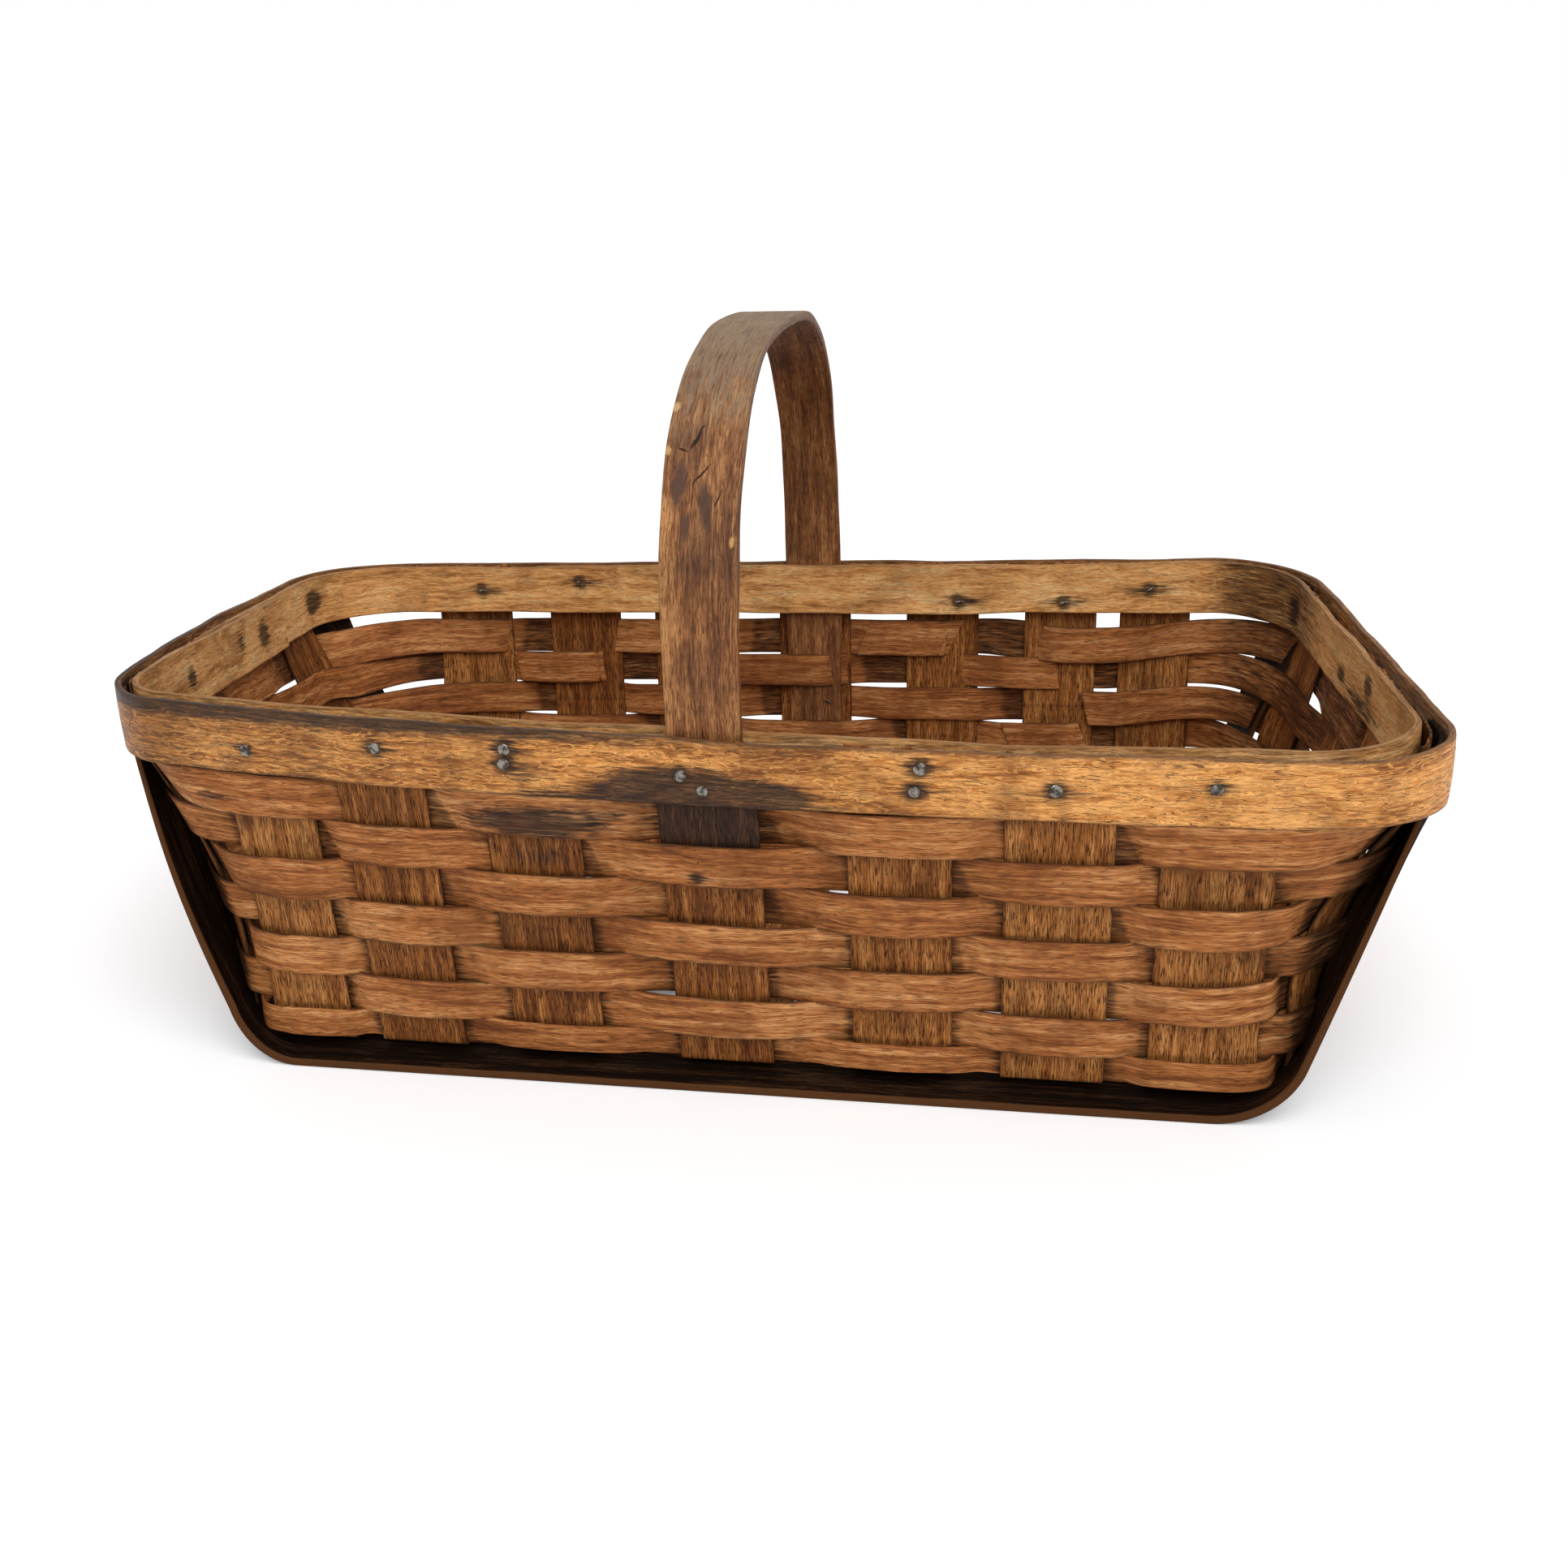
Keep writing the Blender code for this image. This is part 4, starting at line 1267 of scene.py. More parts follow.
@dataclass
class RimNails:
    """Clinched nails through the rim, the handle and the runners.

    front holds each nail's X and Z on the outer band of the front, settled, and back holds the
    clinched points on the inner band of the back.
    """

    head_radius: float = 0.0024
    head_height: float = 0.0011
    point_length: float = 0.0042
    point_radius: float = 0.0006
    front: tuple[tuple[float, float], ...] = (
        (-0.180, 0.141), (-0.1245, 0.145), (-0.072, 0.147), (-0.073, 0.141), (-0.005, 0.139),
        (0.003, 0.133), (0.083, 0.144), (0.081, 0.135), (0.131, 0.136), (0.187, 0.137),
    )
    back: tuple[tuple[float, float], ...] = (
        (-0.180, 0.134), (-0.124, 0.139), (0.080, 0.131), (0.134, 0.131), (0.177, 0.138),
    )

    def stains(self, outer: bool) -> list[Stain]:
        """Returns the iron stains of the outer or the inner band.

        Args:
            outer: whether it is the outer band.

        Returns:
            The stains.
        """
        if outer:
            stains = [
                Stain((-0.008, -0.150, 0.131), (0.052, 0.03, 0.0165), 2.4),
                Stain((0.024, -0.150, 0.129), (0.030, 0.03, 0.0135), 2.4),
                Stain((-0.050, -0.150, 0.128), (0.046, 0.03, 0.0090), 1.0),
                Stain((-0.070, -0.150, 0.137), (0.026, 0.03, 0.0040), 0.7),
                Stain((0.050, -0.150, 0.127), (0.022, 0.03, 0.0030), 0.8),
                Stain((0.131, -0.150, 0.1345), (0.030, 0.03, 0.0026), 0.8),
                Stain((0.180, -0.150, 0.1375), (0.030, 0.03, 0.0024), 0.8),
            ]
            for x, z in self.front:
                stains.append(Stain((x, -0.150, z), (0.0095, 0.03, 0.0072), 1.5))
                stains.append(Stain((x + 0.003, -0.150, z - 0.0005), (0.021, 0.03, 0.0028), 0.75))
            return stains
        stains = [
            Stain((-0.262, 0.097, 0.136), (0.03, 0.013, 0.0110), 1.4),
            Stain((-0.258, 0.028, 0.138), (0.03, 0.010, 0.0130), 1.2),
            Stain((-0.256, 0.000, 0.142), (0.03, 0.007, 0.0100), 0.9),
            Stain((-0.250, -0.055, 0.142), (0.03, 0.007, 0.0090), 1.1),
            Stain((0.245, 0.100, 0.136), (0.03, 0.012, 0.0180), 0.9),
            Stain((0.253, 0.017, 0.131), (0.03, 0.009, 0.0080), 1.2),
            Stain((0.256, -0.022, 0.138), (0.03, 0.009, 0.0090), 1.3),
            Stain((0.256, -0.015, 0.128), (0.03, 0.045, 0.0080), 0.9),
        ]
        for x, z in self.back:
            stains.append(Stain((x, 0.131, z), (0.0075, 0.02, 0.0065), 1.4))
            stains.append(Stain((x + 0.002, 0.131, z), (0.024, 0.02, 0.0050), 0.8))
        return stains

    def build(self) -> None:
        """Makes the heads on the front and the clinched points on the back."""
        outer, inner = rim_hoop(0.0), rim_hoop(2 * FORM.band_thickness + FORM.rim_slot, Rim.inner_growth)
        draw = np.random.RandomState(7)
        heads = [self.head(*self.on_band(outer, Side.FRONT, x, z, 1.0), draw) for x, z in self.front]
        points = [self.point(*self.on_band(inner, Side.BACK, x, z, -1.0), draw) for x, z in self.back]
        backwards, leftwards = (0.0, 1.0, 0.0), (-1.0, 0.0, 0.0)
        wall = ("cross_stake_4_splint", "weaver_3_splint")
        leg = ("handle_hoop", "cross_stake_4_splint", "weaver_3_splint", "weaver_4_splint")
        heads.append(self.head(*self.struck((-0.002, -0.3, 0.095), backwards, *wall), draw))
        heads.append(self.head(*self.struck((0.4, -0.0887, 0.1375), leftwards, "outer_rim_band"), draw))
        points.append(self.point(*self.struck((0.0097, 0.0, 0.0751), backwards, *leg), draw))
        for name, pieces in (("rim_nail_heads", heads), ("rim_nail_points", points)):
            bpy.ops.object.select_all(action="DESELECT")
            for piece in pieces:
                piece.select_set(True)
            bpy.context.view_layer.objects.active = pieces[0]
            bpy.ops.object.join()
            joined = bpy.context.object
            joined.name = joined.data.name = name
            joined.data.materials.clear()
            joined.data.materials.append(finish_material(NailIron()))
            hand_over(joined, None)

    def on_band(
        self, hoop: Hoop, side: Side, x: float, z: float, facing: float
    ) -> tuple[Vector, Vector]:
        """Returns the settled place on a band's face that has an X and a Z, and its direction.

        Args:
            hoop: the outline of the face.
            side: the side of the rim.
            x: the place's X in the settled basket.
            z: its height there.
            facing: 1 for an outer face, and -1 for an inner one.

        Returns:
            The place and the direction out of it.
        """
        target = np.array([x, z]) - SHIFT[[0, 2]]
        guess = target.copy()
        for _ in range(5):
            along = guess[0] * RUNS[side][0]
            spot = hoop.points(np.array([hoop.place(side, along)]), guess[1], 0.0)
            guess += target - settle(spot)[0, [0, 2]]
        here = settle(spot)[0]
        beside = settle(hoop.points(np.array([hoop.place(side, along + 0.002)]), guess[1], 0.0))[0]
        above = settle(hoop.points(np.array([hoop.place(side, along)]), guess[1] + 0.002, 0.0))[0]
        normal = np.cross(beside - here, above - here) * facing
        return Vector(here + SHIFT), Vector(normal).normalized()

    def struck(
        self, start: tuple[float, float, float], way: tuple[float, float, float], *names: str
    ) -> tuple[Vector, Vector]:
        """Returns the first place that a nail meets on its way in, and the direction out of it.

        Args:
            start: a point in the air before that place.
            way: the nail's direction.
            names: the pieces that it may meet.

        Returns:
            The place and the direction out of it.
        """
        found = []
        for name in names:
            met, place, normal, _ = bpy.data.objects[name].ray_cast(start, way)
            if met:
                found.append(((place - Vector(start)).length, place.copy(), normal.copy()))
        _, place, normal = min(found, key=lambda entry: entry[0])
        return place, normal

    def head(self, place: Vector, normal: Vector, draw: np.random.RandomState) -> bpy.types.Object:
        """Makes one hammered head: a low dome with a few flats on it.

        Args:
            place: where it sits.
            normal: the direction out of the wood.
            draw: gives the uneven sizes.

        Returns:
            The head.
        """
        bpy.ops.object.select_all(action="DESELECT")
        bpy.ops.mesh.primitive_uv_sphere_add(segments=14, ring_count=8, radius=self.head_radius)
        piece = bpy.context.object
        spots = np.array([vertex.co for vertex in piece.data.vertices])
        spots[:, 2] *= self.head_height / self.head_radius
        spots[:, :2] *= 1 + draw.uniform(-0.05, 0.05, 2)
        for _ in range(3):
            way = Vector((*draw.uniform(-0.45, 0.45, 2), 1.0)).normalized()
            height = spots @ np.array(way)
            over = np.maximum(height - self.head_height * draw.uniform(0.62, 0.82), 0.0)
            spots -= over[:, None] * np.array(way)[None, :] * 0.9
        return self.seat(piece, spots, place + normal * 0.0006, normal)

    def point(self, place: Vector, normal: Vector, draw: np.random.RandomState) -> bpy.types.Object:
        """Makes one clinched point: a tapered end bent over and hammered into the band.

        Args:
            place: where it sits.
            normal: the direction out of the wood.
            draw: gives the uneven sizes.

        Returns:
            The clinched point.
        """
        bpy.ops.object.select_all(action="DESELECT")
        bpy.ops.mesh.primitive_grid_add(x_subdivisions=10, y_subdivisions=8, size=1.0)
        piece = bpy.context.object
        spots = np.array([vertex.co for vertex in piece.data.vertices])
        along = spots[:, 0] + 0.5
        turn = spots[:, 1] * 2 * math.pi
        radius = self.point_radius * np.sqrt(np.clip(1.02 - along**2, 0.0, 1.0))
        rise = self.point_radius * (1.5 - 2.2 * (along - 0.25) ** 2)
        lean = draw.uniform(-1.0, 1.0)
        spots = np.column_stack([
            (along - 0.3) * self.point_length * math.cos(lean) + radius * np.cos(turn) * math.sin(lean),
            (along - 0.3) * self.point_length * math.sin(lean) - radius * np.cos(turn) * math.cos(lean),
            rise + radius * np.sin(turn),
        ])
        return self.seat(piece, spots, place, normal)

    def seat(
        self, piece: bpy.types.Object, spots: np.ndarray, place: Vector, normal: Vector
    ) -> bpy.types.Object:
        """Sets a nail's points on the basket, its own Z along the band's normal.

        Args:
            piece: the nail's mesh.
            spots: its points round its own origin.
            place: where it sits.
            normal: the direction out of the wood.

        Returns:
            The nail.
        """
        turn = normal.to_track_quat("Z", "Y").to_matrix()
        moved = spots @ np.array(turn).T + np.array(place)
        piece.data.vertices.foreach_set("co", moved.ravel())
        piece.data.update()
        bpy.ops.object.shade_smooth_by_angle(angle=math.radians(24))
        return piece


SHIFT = frame_shift()


@dataclass
class Studio:
    """A plain pale floor, soft light and the camera.

    lamp_place is where the lamp lies as seen from the basket, and lamp_spread is its size in
    degrees.
    """

    surround: float = 0.55
    lamp_place: tuple[float, float, float] = (0.35, -0.75, 1.2)
    lamp_spread: float = 60.0
    lamp_power: float = 1.9

    @dataclass(frozen=True)
    class View:
        """The photograph's viewpoint: metres, degrees, and the lens on a 36 mm wide sensor."""

        place: tuple[float, float, float] = (0.1265, -0.6654, 0.3467)
        turn: float = math.degrees(0.1766)
        tilt: float = math.degrees(0.378)
        roll: float = math.degrees(-0.0349)
        lens: float = 35.91

    def build(self) -> None:
        """Sets up floor, light and camera."""
        self.floor()
        self.lights()
        self.camera(self.View())

    def camera(self, view: "Studio.View") -> None:
        """Places the camera.

        Args:
            view: the viewpoint and the lens.
        """
        camera = bpy.data.cameras.new("camera")
        camera.lens = view.lens
        camera.sensor_width = 36.0
        camera.clip_start = 0.02
        camera.clip_end = 60.0
        holder = bpy.data.objects.new("camera", camera)
        bpy.context.scene.collection.objects.link(holder)
        bpy.context.scene.camera = holder
        turn, tilt, roll = (math.radians(value) for value in (view.turn, view.tilt, view.roll))
        look = Matrix.Rotation(turn, 4, "Z") @ Matrix.Rotation(math.pi / 2 - tilt, 4, "X")
        holder.matrix_world = Matrix.Translation(view.place) @ look @ Matrix.Rotation(roll, 4, "Z")

    def floor(self) -> None:
        """Adds the floor, which the camera sees as white, with the basket's shadow on it."""
        bpy.ops.object.select_all(action="DESELECT")
        bpy.ops.mesh.primitive_plane_add(size=30.0, location=(0.0, 0.0, 0.0))
        floor = bpy.context.object
        floor.name = "studio_floor"
        tree = Tree(bpy.data.materials.new("pale_paper"))
        tree.shader.inputs["Base Color"].default_value = (0.93, 0.93, 0.94, 1.0)
        tree.shader.inputs["Roughness"].default_value = 0.9
        tree.shader.inputs["Specular IOR Level"].default_value = 0.1
        tree.shader.inputs["Emission Color"].default_value = (1.0, 1.0, 1.0, 1.0)
        seen = tree.add("ShaderNodeLightPath").outputs["Is Camera Ray"]
        tree.links.new(tree.maths("MULTIPLY", seen, 0.16), tree.shader.inputs["Emission Strength"])
        floor.data.materials.append(tree.owner)

    def lights(self) -> None:
        """Lights the basket from a white surround and a large soft lamp above the front."""
        world = bpy.data.worlds.new("white_surround")
        bpy.context.scene.world = world
        tree = Tree(world, "Background")
        tree.shader.inputs["Color"].default_value = (1.0, 1.0, 1.0, 1.0)
        seen = tree.add("ShaderNodeLightPath").outputs["Is Camera Ray"]
        strength = tree.ramp(seen, 0.0, 1.0, self.surround, 1.0, "LINEAR")
        tree.links.new(strength, tree.shader.inputs["Strength"])
        lamp = bpy.data.lights.new("soft_lamp", "SUN")
        lamp.angle = math.radians(self.lamp_spread)
        lamp.energy = self.lamp_power
        holder = bpy.data.objects.new("soft_lamp", lamp)
        bpy.context.scene.collection.objects.link(holder)
        turn = Vector([-value for value in self.lamp_place]).to_track_quat("-Z", "Y")
        holder.matrix_world = Matrix.Translation(self.lamp_place) @ turn.to_matrix().to_4x4()
        bpy.context.scene.view_settings.view_transform = "Standard"


@dataclass
class Stakes:
    """The flat splints of the base, bent up into the walls."""

    cells_across: int = 10
    wall_cells: int = 46
    tuck: float = 0.001
    ragged: float = 0.0012
    tones: tuple[float, ...] = (-0.3, -0.5, -0.3, 0.2, 0.7, 0.6, 0.7)
    # Painted shade darkens the stakes along the seams between weaver rows.
    seam_share: float = 0.13
    seam_shade: float = 0.42

    def build(self) -> None:
        """Makes the cross stakes and the long stakes."""
        along = long_stake_places()
        fronts, backs = (cross_stake_places(d) for d in (FORM.front_drifts, FORM.back_drifts))
        across = list(zip(fronts, backs))
        for index, ends in enumerate(across):
            self.stake(f"cross_stake_{index + 1}", Side.FRONT, ends, along, index, 20 + index)
        for index, place in enumerate(along):
            at = 0.5 + place / FORM.base_width
            partners = [-mix(front, back, at) for front, back in reversed(across)]
            self.stake(f"long_stake_{index + 1}", Side.RIGHT, (place, place), partners, index + 1,
                       40 + index)

    def stake(
        self, node: str, side: Side, ends: tuple[float, float], partners: list[float], parity: int,
        seed: int,
    ) -> None:
        """Makes one stake, from a rim side, across the base and up the far wall.

        Args:
            node: the stake's solid.
            side: the side that it starts on.
            ends: its places on the two walls, along that side.
            partners: the places of the stakes that it crosses in the base, along its own way.
            parity: even where it starts below the first of them.
            seed: picks its unevenness.
        """
        draw = np.random.RandomState(seed)
        heights = np.concatenate([
            [FORM.rim_top - self.tuck],
            np.linspace(FORM.rim_bottom + 0.012, FORM.rim_bottom, 4),
            np.linspace(FORM.rim_bottom, FORM.foot_level, self.wall_cells)[1:],
        ])
        shares = np.linspace(-1.0, 1.0, self.cells_across + 1)
        lines = []
        ragged = draw.uniform(-self.ragged, self.ragged, (2, len(shares)))
        for index, share in enumerate(shares):
            first, last = (end + share * FORM.stake_width / 2 for end in ends)
            near = self.wall(side, first, heights)
            far = self.wall((side + 2) % 4, -last, heights)
            near[0, 2] += ragged[0, index]
            far[0, 2] += ragged[1, index]
            base = self.floor_line(side, first, last, partners, parity)
            bends = [
                self.bend(side, first, near[-1]),
                self.bend(Side((side + 2) % 4), -last, far[-1]),
            ]
            lines.append(np.vstack([near, bends[0], base, bends[1][::-1], far[::-1]]))
        points = np.array(lines)
        wear = self.wear(points, seed)
        Sheet(f"{node}_splint", node, points, FORM.stake_width, FORM.stake_thickness, STAKE, seed,
              edge=0.0002, wear_and_shade_maps=wear).build()

    def wall(self, side: int, along: float, heights: np.ndarray) -> np.ndarray:
        """Returns a line up a wall."""
        distance = np.array([wall_hoop(z).place(side, along) for z in heights])
        return wall_hoop(heights).points(distance, heights, np.zeros_like(heights))

    def floor_line(
        self, side: Side, first: float, last: float, partners: list[float], parity: int
    ) -> np.ndarray:
        """Returns a line across the base, over and under the stakes that it crosses.

        Args:
            side: the side that the stake starts on.
            first: its place there.
            last: its place on the far side.
            partners: the places of the stakes that it crosses.
            parity: even where it starts below the first of them.

        Returns:
            The line's points.
        """
        half = FORM.stake_width / 2
        stops, levels = [], []
        for index, partner in enumerate(partners):
            level = FORM.base_level + (FORM.lacing if (index + parity) % 2 else -FORM.lacing)
            stops += [partner - half, partner + half]
            levels += [level, level]
        places = np.concatenate([
            np.linspace(start, end, 5)[:-1] for start, end in zip(stops, stops[1:])
        ] + [[stops[-1]]])
        along = mix(first, last, 0.5 + places / (2 * wall_hoop(FORM.base_level).reaches[side]))
        spots = RUNS[side][None, :] * along[:, None] - OUTS[side][None, :] * places[:, None]
        return np.column_stack([spots, np.interp(places, stops, levels)])

    def bend(self, side: Side, along: float, foot: np.ndarray) -> np.ndarray:
        """Returns the round bend from a wall's foot into the base.

        Args:
            side: the side of the basket.
            along: the place along that side, from its middle.
            foot: the lowest point of the wall.

        Returns:
            The bend's points.
        """
        hoop = wall_hoop(FORM.base_level)
        place = np.array([hoop.place(side, along)])
        corner = hoop.points(place, FORM.base_level, 0.0)[0]
        inside = corner - np.array([*(OUTS[side] * FORM.stake_bend), 0.0])
        turns = np.linspace(0.0, 1.0, 7)[1:, None]
        first = foot + (corner - foot) * turns
        second = corner + (inside - corner) * turns
        return first + (second - first) * turns

    def wear(self, points: np.ndarray, seed: int) -> WearAndShadeMaps:
        """Returns the stake's tone, painted shade along the seams between weaver rows and at the basket's
        ends, and its iron stains.

        Args:
            points: the middle of the splint, as rows of points.
            seed: picks its unevenness.

        Returns:
            The wear maps.
        """
        rows, columns = points.shape[:2]
        tone = np.full((rows, columns), self.tones[seed % len(self.tones)])
        height = points[:, :, 2]
        row_share = np.mod((FORM.rim_bottom - height) / FORM.row_pitch, 1.0)
        # Painted shade along each seam between weaver rows.
        seam = 1 - smooth(np.minimum(row_share, 1 - row_share) / self.seam_share)
        grime_and_shade = self.seam_shade * seam * (height > FORM.foot_level)
        spots = settle(points.reshape(-1, 3))
        stains = [
            Stain((0.002, -0.147, 0.119), (0.060, 0.060, 0.0240), 2.2),
            Stain((-0.066, -0.142, 0.100), (0.030, 0.030, 0.0080), 0.6),
        ]
        iron = stained(spots + SHIFT, stains).reshape(rows, columns)
        # Painted shade at the basket's ends, added to the grime channel.
        inside, outside = end_shade(points)
        return {
            "tone": (tone, tone),
            "grime_and_shade": (np.maximum(grime_and_shade, inside), np.maximum(grime_and_shade, outside)),
            "iron": (iron, iron),
        }


@dataclass
class Weavers:
    """Seven rows of thin splint, each a hoop with its ends lapped behind a stake.

    trim is taken off both edges of a row, and front_bulge and bulge are the most that a weaver
    arches away from the wall between two stakes that cover it.
    """

    cells_across: int = 8
    cell_length: float = 0.0025
    fit: float = 0.0005
    corner_fit: float = 0.0011
    margin: float = 0.001
    lap_step: float = 0.003
    joints: tuple[int, ...] = (13, 16, 11, 12, 15, 16, 17)
    trim: float = 0.0003
    front_spread: float = 0.0006
    front_bulge: float = 0.0036
    top_bulge: float = 0.45
    bulge: float = 0.0008
    drift: float = 0.0004
    tuck_under: float = 0.0015
    # Painted shade beside each stake that covers a weaver.
    crossing_shade: float = 0.6
    crossing_reach: float = 0.005
    side_blend: float = 0.05
    corner_reach: float = 0.085
    back_drops: tuple[float, ...] = (0.0058, 0.0059, 0.0077, 0.0083, 0.0065, 0.0045, 0.0012)
    back_growths: tuple[float, ...] = (0.0016, 0.0007, 0.0009, 0.0003, -0.0008, -0.0010, -0.0010)
    corner_drops: tuple[float, ...] = (0.0034, 0.0020, 0.0010, 0.0, 0.0, 0.0, 0.0)

    def build(self) -> None:
        """Makes every row."""
        for row in range(1, FORM.weaver_rows + 1):
            self.weaver(row)

    def crossings(self) -> list[tuple[int, float]]:
        """Returns the side and place of every stake, in the order that a weaver meets them.

        Returns:
            A side and a place for each.
        """
        front, back = (cross_stake_places(d) for d in (FORM.front_drifts, FORM.back_drifts))
        ends = long_stake_places()
        return (
            [(Side.FRONT, x) for x in front] + [(Side.RIGHT, y) for y in ends]
            + [(Side.BACK, -x) for x in reversed(back)] + [(Side.LEFT, -y) for y in reversed(ends)]
        )

    def is_curved(self, side: int, place: float) -> bool:
        """Tells whether a stake bends round a corner of the wall.

        Args:
            side: the side of the basket.
            place: the stake's place along it.

        Returns:
            Whether it does.
        """
        edge = abs(place) + FORM.stake_width / 2
        hoop = wall_hoop(np.linspace(FORM.foot_level, FORM.rim_bottom, 8))
        rooms = hoop.lasts[side] if place > 0 else -hoop.firsts[side]
        return edge >= rooms.min()

    def handle_part(self, height: float) -> float:
        """Returns the thickness of the handle's tail at a height.

        Args:
            height: the height.

        Returns:
            The thickness.
        """
        tail_end = FORM.rim_bottom - FORM.tail_drop
        share = min(max((height - tail_end) / FORM.tail_drop, 0.0), 1.0)
        return mix(FORM.tail_thickness, FORM.handle_thickness, share)

    def stops(self, row: int, height: float) -> list[float]:
        """Returns where a row, at a height, meets and leaves each stake in turn.

        Args:
            row: the row, counted from the rim.
            height: the height.

        Returns:
            Two distances for each stake.
        """
        hoop = wall_hoop(height)
        stakes = self.crossings()
        count = len(stakes)
        half = FORM.stake_width / 2
        stops = []
        for step in range(count + 1):
            turns, crossing = divmod(self.joints[row - 1] + step, count)
            side, place = stakes[crossing]
            first = half + self.margin if step > 0 else half - self.lap_step
            last = half + self.margin if step < count else half - self.lap_step
            for along in (place - first, place + last):
                stops.append(hoop.place(side, along) + turns * hoop.length)
        return stops

    def offsets(self, row: int, height: float) -> tuple[list[float], list[float]]:
        """Returns how far out a row lies at each stake, and how much it arches there.

        Args:
            row: the row, counted from the rim.
            height: the height.

        Returns:
            The offsets and the arches, one for each stake.
        """
        stakes = self.crossings()
        count = len(stakes)
        middle = FORM.cross_stakes // 2
        handle_crossings = (middle, FORM.cross_stakes + FORM.long_stakes + middle)
        draw = np.random.RandomState(60 + row)
        offsets, bulges = [], []
        for step in range(count + 1):
            crossing = (self.joints[row - 1] + step) % count
            side, place = stakes[crossing]
            outside = (crossing + row) % 2 == 1
            clear = self.corner_fit if self.is_curved(side, place) else self.fit
            offset = (FORM.stake_thickness + FORM.weaver_thickness) / 2 + clear
            offset = offset if outside else -offset
            if crossing in handle_crossings and not outside:
                if height > FORM.rim_bottom - FORM.tail_drop - FORM.row_pitch:
                    offset -= self.handle_part(height) + FORM.fit
            if step == count:
                offset -= FORM.weaver_thickness + FORM.fit
            bulge = self.bulge * draw.uniform(0.5, 1.2)
            if outside and side == Side.FRONT:
                bulge = self.front_bulge * draw.uniform(0.5, 1.0)
            offsets.append(offset)
            bulges.append(bulge if outside else -bulge * 0.5)
        return offsets, bulges

    def weaver(self, row: int) -> None:
        """Makes the weaver of one row, counted from the rim down.

        Args:
            row: the row, counted from the rim.
        """
        low, top = FORM.row_edges(row)
        middle = (low + top) / 2
        keys = np.array(self.stops(row, middle))
        distance = np.linspace(keys[0], keys[-1], int((keys[-1] - keys[0]) / self.cell_length))
        offsets, bulges = self.offsets(row, middle)
        flat = self.woven(distance, keys, offsets, [0.0] * len(bulges))
        arch = self.woven(distance, keys, offsets, bulges) - flat
        half = (top - low) / 2 - self.trim
        shares = np.linspace(-1.0, 1.0, self.cells_across + 1)
        wander = self.drift * ripple(distance, 0.14, 200 + row)
        front, back, corners = self.sides(distance, wall_hoop(middle))
        drop = back * self.back_drops[row - 1] + corners * self.corner_drops[row - 1]
        lines = []
        for share in shares:
            height = middle + share * half
            own_keys = np.array(self.stops(row, height))
            own = np.interp(distance, keys, own_keys)
            edge = 0.5 * self.drift * ripple(distance, 0.07, 300 + row + (share > 0)) * abs(share)
            lean = mix(1.0, self.top_bulge, (share + 1) / 2)
            recess = np.clip(-flat / 0.0015, 0.0, 1.0) * (1 - share) / 2
            spread = front * (share * self.front_spread - recess * self.tuck_under)
            growth = back * share * self.back_growths[row - 1]
            heights = height + wander + edge - drop + spread + growth
            lines.append(wall_hoop(heights).points(own, heights, flat + arch * lean))
        points = np.array(lines)
        wear = self.wear(points, distance, keys, offsets, row)
        node = f"weaver_{row}"
        Sheet(f"{node}_splint", node, points, 2 * half, FORM.weaver_thickness, WEAVER, 60 + row,
              edge=0.0002, wear_and_shade_maps=wear).build()

    def sides(self, distance: np.ndarray, hoop: Hoop) -> tuple[np.ndarray, ...]:
        """Returns how much each place along a row belongs to the front, the back and its corners.

        Args:
            distance: distances along the hoop.
            hoop: the row's outline.

        Returns:
            The shares of front, back and corners.
        """
        along = np.mod(distance, hoop.length)
        reach = self.side_blend
        shares = []
        for side in (Side.FRONT, Side.BACK):
            start, end = hoop.starts[side], hoop.starts[side + 1]
            inside = np.minimum(along - start + reach, end - along)
            shares.append(smooth(inside / reach))
        corner = np.zeros_like(along)
        for side in (Side.RIGHT, Side.BACK):
            away = np.abs(along - hoop.starts[side + 1])
            corner = np.maximum(corner, smooth(1 - away / self.corner_reach))
        return shares[0], shares[1], corner

    def woven(
        self, distance: np.ndarray, keys: np.ndarray, offsets: list[float], bulges: list[float]
    ) -> np.ndarray:
        """Returns how far out the weaver lies all along its way.

        Args:
            distance: the places along its way.
            keys: where it meets and leaves each stake in turn.
            offsets: how far out it lies at each stake.
            bulges: how much it arches away from the wall there.

        Returns:
            How far out each place lies.
        """
        levels = np.repeat(offsets, 2)
        index = np.clip(np.searchsorted(keys, distance, side="right") - 1, 0, len(keys) - 2)
        share = (distance - keys[index]) / (keys[index + 1] - keys[index])
        ease = (1 - np.cos(math.pi * np.clip(share, 0, 1))) / 2
        offset = levels[index] + (levels[index + 1] - levels[index]) * ease
        for step, bulge in enumerate(bulges):
            first, last = keys[2 * step], keys[2 * step + 1]
            centre = (first + last) / 2
            left = keys[2 * step - 1] if step > 0 else first
            right = keys[2 * step + 2] if 2 * step + 2 < len(keys) else last
            span = np.where(distance < centre, centre - left, right - centre)
            away = np.clip(np.abs(distance - centre) / span, 0.0, 1.0)
            offset = offset + bulge * (1 + np.cos(math.pi * away)) / 2
        return offset

